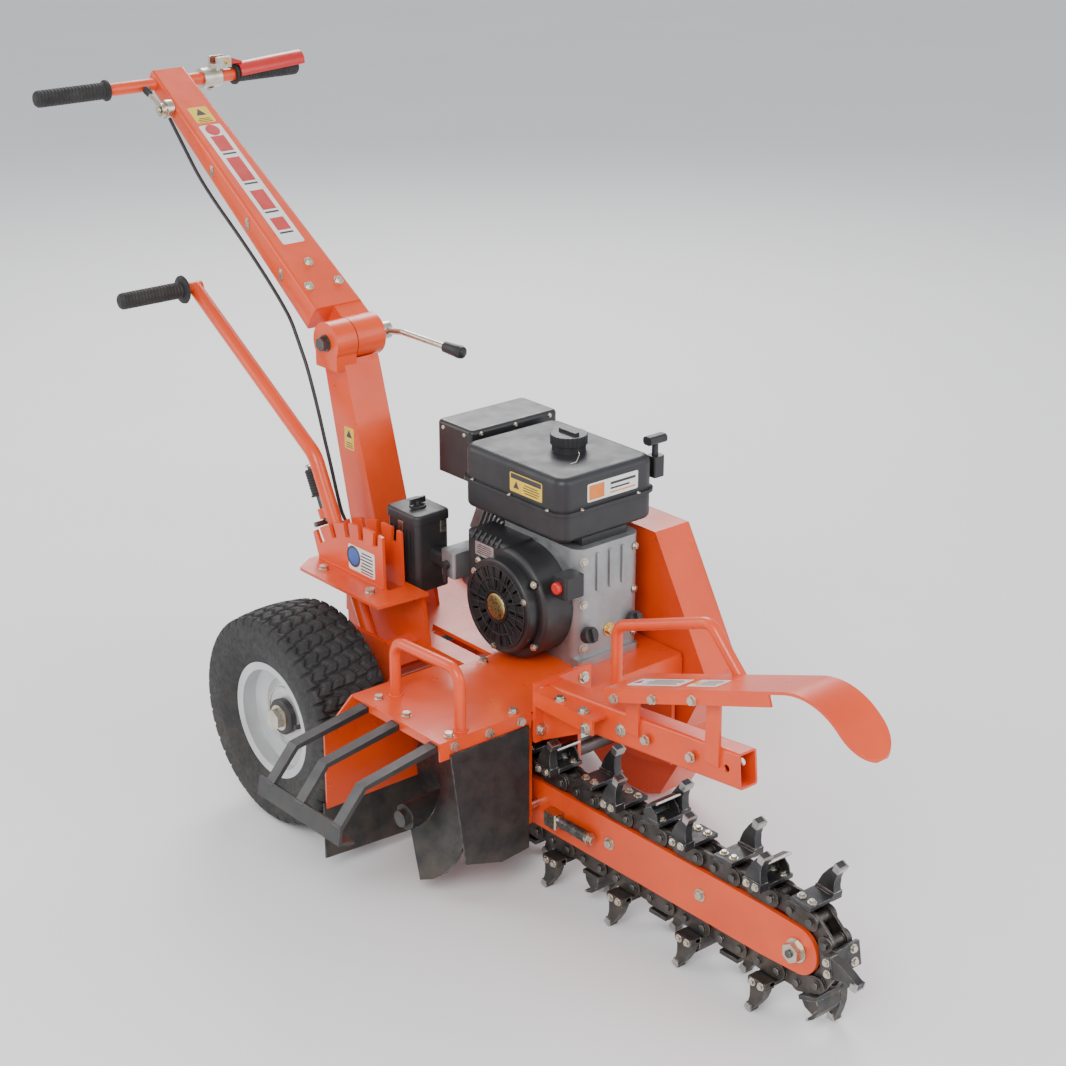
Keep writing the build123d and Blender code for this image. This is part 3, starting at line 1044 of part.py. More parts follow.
with BuildPart() as flywheel_fan:
    fan_front, fan_back = RECOIL_Y + 34, FAN_BACK - 8
    add(shaft(CRANK_X, CRANK_Z, fan_front, fan_back, FAN_RADIUS - 32, CRANK_RADIUS))
    for blade in range(12):
        with Locations(Location(spot(CRANK_X, (fan_front + fan_back) / 2, CRANK_Z), (0, blade * 30, 0))):
            Box(2 * FAN_RADIUS - 24, fan_back - fan_front - 10, 3)
    add(shaft(CRANK_X, CRANK_Z, RECOIL_Y + 20, FAN_BACK + 10, CRANK_RADIUS), mode=Mode.SUBTRACT)
flywheel_fan.part.label = "flywheel_fan"
export_step(flywheel_fan.part, "parts/flywheel_fan.step")


def pulley(x, z, y, radius, bore):
    """V-belt pulley along Y, centred on y, with a groove for the belt."""
    floor = radius - BELT_DEPTH - 1
    half = PULLEY_WIDTH / 2
    groove = BELT_WIDTH / 2 + 1.2
    with BuildPart(mode=Mode.PRIVATE) as made:
        with BuildSketch(Plane(origin=spot(x, y, z), x_dir=(0, 1, 0), z_dir=(1, 0, 0))):
            with BuildLine():
                Polyline((-half, bore), (-half, radius), (-groove, radius), (-3.5, floor), (3.5, floor),
                         (groove, radius), (half, radius), (half, bore), close=True)
            make_face()
        revolve(axis=cross_axis(x, z))
    return made.part


with BuildPart() as crankshaft:
    add(shaft(CRANK_X, CRANK_Z, RECOIL_Y + 34, BELT_Y + 14, CRANK_RADIUS))
    add(pulley(CRANK_X, CRANK_Z, BELT_Y, SMALL_PULLEY, 11))
crankshaft.part.label = "crankshaft"
export_step(crankshaft.part, "parts/crankshaft.step")

with BuildPart() as jackshaft:
    add(shaft(JACK_X, JACK_Z, 214, SECOND_BELT_Y + 14, 12))
    add(pulley(JACK_X, JACK_Z, BELT_Y, JACK_PULLEY, 11))
    add(pulley(JACK_X, JACK_Z, SECOND_BELT_Y, SMALL_PULLEY, 11))
jackshaft.part.label = "jackshaft"
export_step(jackshaft.part, "parts/jackshaft.step")

with BuildPart() as shaft_wheels:
    add(toothed_disc(SHAFT_X, BOOM_Z, BOOM_Y, 18, SHAFT_RADIUS))
    add(shaft(SHAFT_X, BOOM_Z, BOOM_Y - 22, BOOM_Y + 22, 26, SHAFT_RADIUS))
    add(pulley(SHAFT_X, BOOM_Z, SECOND_BELT_Y, FINAL_PULLEY, SHAFT_RADIUS))
shaft_wheels.part.label = "shaft_wheels"
export_step(shaft_wheels.part, "parts/shaft_wheels.step")


def belt_loop(x1, z1, r1, x2, z2, r2):
    """Outline of a belt round two circles, as a sketch in (x, z)."""
    reach = sqrt((x2 - x1) ** 2 + (z2 - z1) ** 2)
    heading = atan2(z2 - z1, x2 - x1)
    lean = asin((r1 - r2) / reach)
    corners = []
    for turn in (1, -1):
        angle = heading + turn * (pi / 2 - lean)
        corners.append((x1 + r1 * cos(angle), z1 + r1 * sin(angle)))
        corners.append((x2 + r2 * cos(angle), z2 + r2 * sin(angle)))
    with BuildSketch(mode=Mode.PRIVATE) as made:
        with BuildLine():
            Polyline(corners[0], corners[1], corners[3], corners[2], close=True)
        make_face()
        with Locations((x1, z1)):
            Circle(r1)
        with Locations((x2, z2)):
            Circle(r2)
    return made.sketch


def belt(y, x1, z1, r1, x2, z2, r2):
    """V-belt on two pulleys, riding high in their grooves."""
    with BuildPart(mode=Mode.PRIVATE) as made:
        with BuildSketch(side_plane(y + 3)):
            add(belt_loop(x1, z1, r1 + 1, x2, z2, r2 + 1))
            add(belt_loop(x1, z1, r1 - BELT_DEPTH + 2, x2, z2, r2 - BELT_DEPTH + 2), mode=Mode.SUBTRACT)
        extrude(amount=6)
    return made.part


with BuildPart() as drive_belts:
    add(belt(BELT_Y, CRANK_X, CRANK_Z, SMALL_PULLEY, JACK_X, JACK_Z, JACK_PULLEY))
    add(belt(SECOND_BELT_Y, JACK_X, JACK_Z, SMALL_PULLEY, SHAFT_X, BOOM_Z, FINAL_PULLEY))
drive_belts.part.label = "drive_belts"
export_step(drive_belts.part, "parts/drive_belts.step")

IDLER_X, IDLER_Z = 413.0, 460.0
IDLER_PIVOT = (IDLER_X - 50.0, IDLER_Z + 45.0)
IDLER_RADIUS = 17.0
with BuildPart() as idler_arm:
    arm_run = Vector(IDLER_X - IDLER_PIVOT[0], IDLER_Z - IDLER_PIVOT[1])
    with BuildSketch(side_plane(BELT_Y - 11)):
        with Locations(((IDLER_X + IDLER_PIVOT[0]) / 2, (IDLER_Z + IDLER_PIVOT[1]) / 2)):
            SlotCenterToCenter(arm_run.length, 22, rotation=degrees(atan2(arm_run.Y, arm_run.X)))
        with Locations(IDLER_PIVOT):
            Circle(6 + RUNNING_GAP, mode=Mode.SUBTRACT)
    extrude(amount=5)
    add(shaft(IDLER_X, IDLER_Z, BELT_Y - 11, BELT_Y + 9, IDLER_RADIUS))
idler_arm.part.label = "idler_arm"
export_step(idler_arm.part, "parts/idler_arm.step")

COVER_Y = (244.0, 334.0)
COVER_WALL = 2.5
COVER_OUTLINE = [(232, 440), (244, 540), (262, 556), (412, 556), (552, 314), (548, 286), (500, 190),
                 (486, 110), (440, 32), (404, 18), (300, 18), (248, 52)]
with BuildPart() as belt_cover:
    with BuildSketch(side_plane(COVER_Y[1])):
        with BuildLine():
            Polyline(*COVER_OUTLINE, close=True)
        make_face()
    extrude(amount=COVER_Y[1] - COVER_Y[0])
    fillet(belt_cover.edges().group_by(Axis.Y)[-1], radius=10)
    with BuildSketch(side_plane(COVER_Y[1] - COVER_WALL)):
        with BuildLine():
            Polyline(*COVER_OUTLINE, close=True)
        make_face()
        offset(amount=-COVER_WALL)
    extrude(amount=COVER_Y[1] - COVER_Y[0] - 2 * COVER_WALL, mode=Mode.SUBTRACT)
    for hole_x, hole_z, radius in ((CRANK_X, CRANK_Z, 20), (JACK_X, JACK_Z, 20), (SHAFT_X, BOOM_Z, 22)):
        add(shaft(hole_x, hole_z, COVER_Y[0] - 5, COVER_Y[0] + 10, radius), mode=Mode.SUBTRACT)
    # stud that carries the idler's arm
    add(shaft(*IDLER_PIVOT, COVER_Y[0], BELT_Y + 12, 6))
belt_cover.part.label = "belt_cover"
export_step(belt_cover.part, "parts/belt_cover.step")

TANK_X, TANK_Y, TANK_Z = (130.0, 408.0), (22.0, 246.0), (584.0, 704.0)
CAP_SPOT = (285.0, 146.0)
TANK_WALL = 3.0
TANK_SEAM = 636.0
with BuildPart() as fuel_tank:
    add(block(TANK_X, TANK_Y, TANK_Z, 26))
    fillet(fuel_tank.edges().group_by(Axis.Z)[-1], radius=14)
    fillet(fuel_tank.edges().group_by(Axis.Z)[0], radius=10)
    add(block((TANK_X[0] - 5, TANK_X[1] + 5), (TANK_Y[0] - 5, TANK_Y[1] + 5), (TANK_SEAM, TANK_SEAM + 6), 28))
    with BuildSketch(floor_plane(TANK_Z[1] - 2)):
        with Locations(CAP_SPOT):
            Circle(31)
    extrude(amount=14)
    add(block((TANK_X[0] + TANK_WALL, TANK_X[1] - TANK_WALL), (TANK_Y[0] + TANK_WALL, TANK_Y[1] - TANK_WALL),
              (TANK_Z[0] + TANK_WALL + 4, TANK_Z[1] - TANK_WALL - 4), 22), mode=Mode.SUBTRACT)
    with BuildSketch(floor_plane(TANK_Z[1] - 20)):
        with Locations(CAP_SPOT):
            Circle(22)
    extrude(amount=40, mode=Mode.SUBTRACT)
fuel_tank.part.label = "fuel_tank"
export_step(fuel_tank.part, "parts/fuel_tank.step")

with BuildPart() as fuel_cap:
    with BuildSketch(floor_plane(TANK_Z[1] + 12 + BODY_GAP)):
        with Locations(CAP_SPOT):
            Circle(34)
            with PolarLocations(35.5, 24):
                Circle(2.6, mode=Mode.SUBTRACT)
    extrude(amount=18)
    fillet(fuel_cap.faces().sort_by(Axis.Z)[-1].edges(), radius=1.0)
    with BuildSketch(floor_plane(TANK_Z[1] + 28)):
        with Locations(CAP_SPOT):
            Rectangle(44, 11)
    extrude(amount=8)
    with BuildSketch(floor_plane(TANK_Z[1] - 4)):
        with Locations(CAP_SPOT):
            Circle(20)
    extrude(amount=18)
fuel_cap.part.label = "fuel_cap"
export_step(fuel_cap.part, "parts/fuel_cap.step")

FILTER_X, FILTER_Y, FILTER_Z = (20.0, 112.0), (-70.0, 6.0), (424.0, 574.0)
FILTER_LID = 18.0
DUCT_LENGTH = 30.0
with BuildPart() as air_filter_box:
    add(block(FILTER_X, FILTER_Y, (FILTER_Z[0], FILTER_Z[1] - FILTER_LID - 0.1), 12))
    # outlet duct to the carburettor
    with BuildSketch(cross_plane(FILTER_X[1] - 2)):
        with Locations((-22, FILTER_Z[0] + 66)):
            RectangleRounded(34, 30, 8)
    extrude(amount=DUCT_LENGTH + 2)
air_filter_box.part.label = "air_filter_box"
export_step(air_filter_box.part, "parts/air_filter_box.step")

with BuildPart() as air_filter_lid:
    add(block((FILTER_X[0] - 3, FILTER_X[1] + 3), (FILTER_Y[0] - 3, FILTER_Y[1] + 3),
              (FILTER_Z[1] - FILTER_LID, FILTER_Z[1]), 14))
    fillet(air_filter_lid.edges().group_by(Axis.Z)[-1], radius=6)
air_filter_lid.part.label = "air_filter_lid"
export_step(air_filter_lid.part, "parts/air_filter_lid.step")

MUFFLER_X, MUFFLER_Y, MUFFLER_Z = (12.0, 118.0), (56.0, 266.0), (618.0, 712.0)
with BuildPart() as muffler:
    add(block((MUFFLER_X[0] + 14, MUFFLER_X[1] - 14), (MUFFLER_Y[0] + 14, MUFFLER_Y[1] - 14),
              (MUFFLER_Z[0] + 2, MUFFLER_Z[1] - 14), 18))
muffler.part.label = "muffler"
export_step(muffler.part, "parts/muffler.step")

GUARD_SHEET = 1.6
with BuildPart() as muffler_guard:
    add(block(MUFFLER_X, MUFFLER_Y, (MUFFLER_Z[0] - 6, MUFFLER_Z[1]), 12))
    fillet(muffler_guard.edges().group_by(Axis.Z)[-1], radius=8)
    add(block((MUFFLER_X[0] + GUARD_SHEET, MUFFLER_X[1] - GUARD_SHEET),
              (MUFFLER_Y[0] + GUARD_SHEET, MUFFLER_Y[1] - GUARD_SHEET),
              (MUFFLER_Z[0] - 10, MUFFLER_Z[1] - 4), 10),
        mode=Mode.SUBTRACT)
    # four rows of round-ended vents in each long side, and a row in each end
    for row in range(4):
        with BuildSketch(cross_plane(MUFFLER_X[0] - 5)):
            with Locations(((MUFFLER_Y[0] + MUFFLER_Y[1]) / 2, MUFFLER_Z[0] + 14 + row * 19)):
                with GridLocations(27, 1, 7, 1):
                    SlotOverall(18, 7)
        extrude(amount=MUFFLER_X[1] - MUFFLER_X[0] + 10, mode=Mode.SUBTRACT)
muffler_guard.part.label = "muffler_guard"
export_step(muffler_guard.part, "parts/muffler_guard.step")

CARB_X, CARB_Z = FILTER_X[1] + DUCT_LENGTH + 0.1, CRANK_Z + 14
with BuildPart() as carburettor:
    add(block((CARB_X, CARB_X + 40), (-40, 50), (CARB_Z, CARB_Z + 50), 6))
    add(shaft(CARB_X + 20, CARB_Z - 12, 6, 34, 17))
carburettor.part.label = "carburettor"
export_step(carburettor.part, "parts/carburettor.step")

CHOKE = (CARB_X + 20, -40.0, CARB_Z + 25)
with BuildPart() as choke_lever:
    add(shaft(CHOKE[0], CHOKE[2], CHOKE[1] - 8, CHOKE[1] - BODY_GAP, 8))
    add(block((CHOKE[0] - 4, CHOKE[0] + 4), (CHOKE[1] - 8, CHOKE[1] - 4), (CHOKE[2] - 34, CHOKE[2] - 4), 1))
choke_lever.part.label = "choke_lever"
export_step(choke_lever.part, "parts/choke_lever.step")

STARTER_GRIP = (388.0, 262.0, 716.0)
with BuildPart() as starter_grip:
    with BuildSketch(Plane(origin=spot(STARTER_GRIP[0], STARTER_GRIP[1] - 20, STARTER_GRIP[2] + 8),
                           x_dir=(1, 0, 0), z_dir=(0, 1, 0))):
        RectangleRounded(22, 16, 7)
    extrude(amount=40)
    add(round_tube([(STARTER_GRIP[0], STARTER_GRIP[1], STARTER_GRIP[2]),
                    (STARTER_GRIP[0], STARTER_GRIP[1], STARTER_GRIP[2] - 22)], 0, 6))
starter_grip.part.label = "starter_grip"
export_step(starter_grip.part, "parts/starter_grip.step")

STOP_SPOT = (CRANK_X + 118, CRANK_Z + 62)
with BuildPart() as engine_brackets:
    # posts under the tank, the starter grip's rest and the stop switch's housing
    for bracket_x in (CASE_X[0] + 30, CASE_X[1] - 30):
        add(block((bracket_x - 14, bracket_x + 14), (CASE_Y[0] + 24, CASE_Y[1] - 24),
                  (CASE_TOP + 0.05, TANK_Z[0] - 0.05)))
    add(block((STARTER_GRIP[0] - 12, STARTER_GRIP[0] + 12), (TANK_Y[1] + 5.1, STARTER_GRIP[1] + 14),
              (STARTER_GRIP[2] - 62, STARTER_GRIP[2] - 22 - BODY_GAP), 4))
    add(block((STOP_SPOT[0] - 18, STOP_SPOT[0] + 20), (6, CASE_Y[0] - 0.2),
              (STOP_SPOT[1] - 20, STOP_SPOT[1] + 20), 6))
    add(shaft(*STOP_SPOT, 0, 24, 11 + BODY_GAP), mode=Mode.SUBTRACT)
engine_brackets.part.label = "engine_brackets"
export_step(engine_brackets.part, "parts/engine_brackets.step")

with BuildPart() as stop_button:
    add(shaft(*STOP_SPOT, -2, 18, 11))
    fillet(stop_button.edges().group_by(Axis.Y)[0], radius=3)
stop_button.part.label = "stop_button"
export_step(stop_button.part, "parts/stop_button.step")

with BuildPart() as oil_plugs:
    for plug_y in (CASE_Y[0] + 22, CASE_Y[1] - 22):
        with BuildSketch(Plane(origin=spot(CASE_X[1] + 0.1, plug_y, ENGINE_BASE + 58), z_dir=(1, 0, 0.35))):
            Circle(15)
        extrude(amount=16)
        with BuildSketch(Plane(origin=spot(CASE_X[1] + 15, plug_y, ENGINE_BASE + 63), z_dir=(1, 0, 0.35))):
            Rectangle(24, 8)
        extrude(amount=8)
    add(block(CASE_X, CASE_Y, (ENGINE_BASE, CASE_TOP)), mode=Mode.SUBTRACT)
oil_plugs.part.label = "oil_plugs"
export_step(oil_plugs.part, "parts/oil_plugs.step")

# ---------------------------------------------------------------- fasteners
BOLT = 13.0                 # across flats
BOLT_HEAD = 6.0
with BuildPart() as frame_bolts:
    for bolt_x, bolt_y in ((DECK_BACK + 16, DECK_RIGHT + 26), (DECK_BACK + 16, -60),
                           (DECK_BACK + 100, DECK_RIGHT + 22), (DECK_FRONT - 14, DECK_RIGHT + 30),
                           (DECK_FRONT - 14, -150)):
        add(hex_head(facing((bolt_x, bolt_y, DECK_Z + 0.05), (0, 0, 1)), BOLT, BOLT_HEAD))
    for bolt_y in (-290, -215, -145):
        add(hex_head(facing((DECK_FRONT + 0.05, bolt_y, DECK_Z - 13), (1, 0, 0)), BOLT, BOLT_HEAD))
    for bolt_x in (-60, 87):
        add(hex_head(facing((bolt_x, -160, PLATFORM_Z + 0.05), (0, 0, 1)), BOLT + 3, BOLT_HEAD))
    tube_side = TUBE_Y - TUBE_WIDTH / 2 - 5.05
    for bolt_x in (860.0, 755.0):
        add(hex_head(facing((bolt_x, tube_side, tube_z(bolt_x)), (0, -1, 0)), BOLT, BOLT_HEAD))
    for bolt_x in (700.0, 790.0, 880.0):
        add(hex_head(facing((bolt_x, GUARD_Y[0] - 0.05, guard_z(bolt_x) - 15), (0, -1, 0)), BOLT, BOLT_HEAD))
frame_bolts.part.label = "frame_bolts"
export_step(frame_bolts.part, "parts/frame_bolts.step")
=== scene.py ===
import math

import bmesh
import bpy
from mathutils import Matrix, Vector
from mathutils.bvhtree import BVHTree


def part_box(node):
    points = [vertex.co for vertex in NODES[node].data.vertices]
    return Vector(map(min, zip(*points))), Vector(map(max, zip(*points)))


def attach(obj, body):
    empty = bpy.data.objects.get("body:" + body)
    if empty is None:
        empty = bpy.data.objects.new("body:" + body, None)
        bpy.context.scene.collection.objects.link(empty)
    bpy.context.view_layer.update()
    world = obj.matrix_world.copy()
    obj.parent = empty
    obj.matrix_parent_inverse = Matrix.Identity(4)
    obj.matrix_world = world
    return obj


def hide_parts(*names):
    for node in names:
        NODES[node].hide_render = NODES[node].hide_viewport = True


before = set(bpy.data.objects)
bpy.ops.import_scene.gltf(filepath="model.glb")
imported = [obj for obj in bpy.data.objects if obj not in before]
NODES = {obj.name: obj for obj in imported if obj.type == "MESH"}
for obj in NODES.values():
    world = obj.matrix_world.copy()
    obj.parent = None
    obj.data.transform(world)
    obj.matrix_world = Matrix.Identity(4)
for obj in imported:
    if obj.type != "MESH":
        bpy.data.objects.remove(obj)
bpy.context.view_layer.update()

# Machine coordinates are millimetres: x from the wheel axle, y from the mast's middle, z from the floor.
LEFT_RIM, RIGHT_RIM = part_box("left_rim"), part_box("right_rim")
ORIGIN = Vector(((LEFT_RIM[0].x + LEFT_RIM[1].x) / 2, (LEFT_RIM[0].y + RIGHT_RIM[1].y) / 2, 0))


def at(x, y, z):
    """Machine point, in metres in the frame."""
    return ORIGIN + Vector((x, y, z)) / 1000


def middle(node):
    """Middle of a CAD node's box, in machine coordinates."""
    low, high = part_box(node)
    return ((low + high) / 2 - ORIGIN) * 1000


def corners(node):
    """Low and high corner of a CAD node's box, in machine coordinates."""
    return [(corner - ORIGIN) * 1000 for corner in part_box(node)]


def moved(place, x=0.0, y=0.0, z=0.0):
    """Place shifted along its own axes, in metres."""
    return place @ Matrix.Translation((x, y, z))


def shown(name, data):
    """New object in the scene."""
    made = bpy.data.objects.new(name, data)
    bpy.context.scene.collection.objects.link(made)
    return made


# ------------ camera
AZIMUTH, ELEVATION = math.radians(49.7), math.radians(21.54)
CAMERA_SPOT = (3041, -2276, 1989)
LENS = 72.81


def add_camera():
    """Camera at the view that the machine is known from."""
    data = bpy.data.cameras.new("camera")
    data.lens, data.sensor_width = LENS, 36
    camera = shown("camera", data)
    camera.location = at(*CAMERA_SPOT)
    ahead = Vector((-math.sin(AZIMUTH) * math.cos(ELEVATION), math.cos(AZIMUTH) * math.cos(ELEVATION),
                    -math.sin(ELEVATION)))
    camera.rotation_euler = ahead.to_track_quat("-Z", "Y").to_euler()
    bpy.context.scene.camera = camera


add_camera()


# ------------ materials
class Shade:
    """Principled material under construction, in object coordinates."""

    def __init__(self, name):
        self.material = bpy.data.materials.new(name)
        self.material.use_nodes = True
        self.tree = self.material.node_tree
        self.shader = self.tree.nodes["Principled BSDF"]
        self.place = self.tree.nodes.new("ShaderNodeTexCoord").outputs["Object"]

    def link(self, source, target):
        """Wire between two sockets."""
        self.tree.links.new(source, target)

    def noise(self, scale, detail=3.0, stretch=(1, 1, 1)):
        """Noise factor; stretch squeezes it along an axis."""
        place = self.place
        if stretch != (1, 1, 1):
            mapping = self.tree.nodes.new("ShaderNodeMapping")
            mapping.inputs["Scale"].default_value = stretch
            self.link(self.place, mapping.inputs["Vector"])
            place = mapping.outputs["Vector"]
        node = self.tree.nodes.new("ShaderNodeTexNoise")
        node.inputs["Scale"].default_value = scale
        node.inputs["Detail"].default_value = detail
        self.link(place, node.inputs["Vector"])
        return node.outputs["Fac"]

    def span(self, value, low, high, new_low=0.0, new_high=1.0):
        """Value mapped from one range to another, held at the ends."""
        node = self.tree.nodes.new("ShaderNodeMapRange")
        limits = {"From Min": low, "From Max": high, "To Min": new_low, "To Max": new_high}
        for key, number in limits.items():
            node.inputs[key].default_value = number
        self.link(value, node.inputs["Value"])
        return node.outputs["Result"]

    def math(self, operation, first, second):
        """Result of a sum on two values, held between 0 and 1."""
        node = self.tree.nodes.new("ShaderNodeMath")
        node.operation = operation
        node.use_clamp = True
        for index, value in enumerate((first, second)):
            if isinstance(value, (int, float)):
                node.inputs[index].default_value = value
            else:
                self.link(value, node.inputs[index])
        return node.outputs[0]

    def mix(self, factor, first, second):
        """Colour mix; each colour is a socket or (r, g, b)."""
        node = self.tree.nodes.new("ShaderNodeMix")
        node.data_type = "RGBA"
        self.link(factor, node.inputs["Factor"])
        for key, value in ((6, first), (7, second)):
            if isinstance(value, tuple):
                node.inputs[key].default_value = (*value, 1)
            else:
                self.link(value, node.inputs[key])
        return node.outputs[2]

    def edges(self, radius):
        """Factor that is 1 on convex and concave edges, and the rounded normal."""
        bevel = self.tree.nodes.new("ShaderNodeBevel")
        bevel.samples = 4
        bevel.inputs["Radius"].default_value = radius
        geometry = self.tree.nodes.new("ShaderNodeNewGeometry")
        dot = self.tree.nodes.new("ShaderNodeVectorMath")
        dot.operation = "DOT_PRODUCT"
        self.link(bevel.outputs["Normal"], dot.inputs[0])
        self.link(geometry.outputs["Normal"], dot.inputs[1])
        return self.span(dot.outputs["Value"], 0.985, 0.86), bevel.outputs["Normal"]

    def height(self):
        """Height over the floor, in metres."""
        split = self.tree.nodes.new("ShaderNodeSeparateXYZ")
        self.link(self.place, split.inputs[0])
        return split.outputs["Z"]

    def bump(self, height, depth, normal=None):
        """Normal bent by a height; depth in metres."""
        node = self.tree.nodes.new("ShaderNodeBump")
        node.inputs["Distance"].default_value = depth
        self.link(height, node.inputs["Height"])
        if normal:
            self.link(normal, node.inputs["Normal"])
        return node.outputs["Normal"]


SOIL = (0.23, 0.17, 0.11)


def surface(name, colour, second, metallic=0.0, rough=(0.35, 0.5), patch=9.0, grain=(900.0, 0.00004),
            wear=None, wear_metal=0.9, edge=0.0008, dust=0.0, dust_top=0.35, coat=0.0, stretch=(1, 1, 1)):
    """Finish with two tones, patchy roughness, fine grain, worn edges and dust near the floor."""
    shade = Shade(name)
    shader = shade.shader
    patches = shade.noise(patch, 4.0, stretch)
    tone = shade.mix(shade.span(patches, 0.35, 0.65), colour, second)
    fine = shade.noise(grain[0], 2.0, stretch)
    roughness = shade.span(shade.noise(patch * 3.1, 5.0, stretch), 0.3, 0.7, rough[0], rough[1])
    normal = None
    shader.inputs["Metallic"].default_value = metallic
    if edge:
        edge_mask, normal = shade.edges(edge)
        if wear:
            broken = shade.math("MULTIPLY", edge_mask, shade.span(shade.noise(70.0, 4.0), 0.42, 0.6))
            tone = shade.mix(broken, tone, wear)
            if wear_metal != metallic:
                shade.link(shade.span(broken, 0, 1, metallic, wear_metal), shader.inputs["Metallic"])
    if dust:
        low = shade.span(shade.height(), dust_top, 0.0)
        settled = shade.math("MULTIPLY", low, shade.span(shade.noise(24.0, 6.0), 0.38, 0.72))
        settled = shade.math("MULTIPLY", settled, dust)
        tone = shade.mix(settled, tone, SOIL)
        roughness = shade.math("MAXIMUM", roughness, shade.span(settled, 0, 0.6, 0, 0.85))
    shade.link(tone, shader.inputs["Base Color"])
    shade.link(roughness, shader.inputs["Roughness"])
    shade.link(shade.bump(fine, grain[1], normal), shader.inputs["Normal"])
    shader.inputs["Coat Weight"].default_value = coat
    shader.inputs["Coat Roughness"].default_value = 0.12
    return shade.material


STEEL = (0.55, 0.53, 0.5)
ORANGE = surface("orange_paint", (0.78, 0.072, 0.008), (0.7, 0.058, 0.006), rough=(0.27, 0.4),
                 wear=(0.3, 0.07, 0.03), wear_metal=0.25, grain=(420.0, 0.00005), dust=0.2, dust_top=0.22,
                 coat=0.12)
BLACK = surface("black_paint", (0.011, 0.011, 0.012), (0.019, 0.019, 0.02), rough=(0.3, 0.46),
                wear=(0.13, 0.125, 0.12), wear_metal=0.7, grain=(500.0, 0.00005), dust=0.22, dust_top=0.4,
                coat=0.1)
SCUFFED = surface("scuffed_plate", (0.013, 0.013, 0.014), (0.03, 0.028, 0.026), rough=(0.36, 0.6),
                  wear=(0.3, 0.29, 0.27), edge=0.0014, patch=34.0, grain=(240.0, 0.00012), dust=0.3,
                  dust_top=0.2)
SILVER = surface("silver_paint", (0.6, 0.61, 0.62), (0.5, 0.51, 0.52), metallic=0.55, rough=(0.3, 0.45),
                 grain=(700.0, 0.00004), dust=0.35, dust_top=0.32, coat=0.2)
ZINC = surface("zinc_plate", (0.63, 0.6, 0.53), (0.52, 0.47, 0.36), metallic=1.0, rough=(0.22, 0.4),
               patch=60.0, edge=0.0005)
BRASS = surface("brass", (0.72, 0.52, 0.22), (0.6, 0.42, 0.17), metallic=1.0, rough=(0.2, 0.38), patch=80.0,
                edge=0.0004)
CHAIN = surface("chain_steel", (0.1, 0.09, 0.085), (0.055, 0.05, 0.047), metallic=0.85, rough=(0.36, 0.55),
                wear=(0.45, 0.43, 0.4), patch=45.0, grain=(350.0, 0.0001), dust=0.45, dust_top=0.26,
                edge=0.0012)
CUTTER = surface("cutter_steel", (0.045, 0.046, 0.05), (0.085, 0.082, 0.08), metallic=0.75,
                 rough=(0.34, 0.52), wear=(0.5, 0.48, 0.45), patch=30.0, grain=(300.0, 0.0001), dust=0.4,
                 dust_top=0.22, edge=0.0012)
CARBIDE = surface("ground_steel", (0.5, 0.49, 0.47), (0.38, 0.37, 0.35), metallic=1.0, rough=(0.25, 0.4),
                  patch=90.0, stretch=(1, 6, 1), edge=0.0005)
DARK = surface("dark_steel", (0.09, 0.088, 0.085), (0.14, 0.135, 0.13), metallic=0.9, rough=(0.3, 0.5),
               wear=STEEL, patch=30.0, edge=0.0008)
CAST = surface("cast_aluminium", (0.4, 0.41, 0.42), (0.33, 0.335, 0.34), metallic=0.85, rough=(0.42, 0.6),
               patch=22.0, grain=(650.0, 0.00018), edge=0.0012)
PLASTIC = surface("black_plastic", (0.014, 0.014, 0.016), (0.022, 0.022, 0.025), rough=(0.38, 0.52),
                  grain=(1500.0, 0.00006), edge=0.0009, dust=0.2, dust_top=0.7)
RUBBER = surface("grip_rubber", (0.012, 0.012, 0.012), (0.024, 0.023, 0.022), rough=(0.6, 0.78), patch=40.0,
                 grain=(1300.0, 0.00008), edge=0.0)
TYRE = surface("tyre_rubber", (0.012, 0.012, 0.013), (0.021, 0.02, 0.019), rough=(0.55, 0.78), patch=42.0,
               grain=(520.0, 0.00016), edge=0.0, dust=0.16, dust_top=0.3)
SLEEVE = surface("cable_sleeve", (0.013, 0.013, 0.014), (0.022, 0.022, 0.024), rough=(0.35, 0.5), patch=60.0,
                 edge=0.0)
RED = surface("red_plastic", (0.62, 0.018, 0.014), (0.5, 0.012, 0.01), rough=(0.24, 0.36),
              grain=(900.0, 0.00003), coat=0.3)
SOOT = surface("heated_steel", (0.075, 0.06, 0.05), (0.16, 0.1, 0.06), metallic=0.7, rough=(0.5, 0.75),
               patch=20.0, edge=0.0)
FOIL = surface("label_foil", (0.62, 0.63, 0.64), (0.52, 0.53, 0.54), metallic=0.9, rough=(0.25, 0.4),
               patch=50.0, edge=0.0)


def ink(name, colour, second, rough=(0.28, 0.4)):
    """Printed film, nearly even in tone."""
    return surface(name, colour, second, rough=rough, patch=30.0, edge=0.0)


WHITE = ink("label_white", (0.8, 0.8, 0.78), (0.72, 0.72, 0.7))
YELLOW = ink("label_yellow", (0.82, 0.55, 0.03), (0.74, 0.47, 0.02))
LABEL_RED = ink("label_red", (0.6, 0.03, 0.03), (0.5, 0.02, 0.02))
LABEL_BLUE = ink("label_blue", (0.03, 0.13, 0.5), (0.02, 0.1, 0.4))
LABEL_BLACK = ink("label_black", (0.02, 0.02, 0.02), (0.035, 0.035, 0.035), (0.3, 0.42))
LABEL_ORANGE = ink("label_orange", (0.8, 0.22, 0.02), (0.7, 0.18, 0.02), (0.3, 0.42))

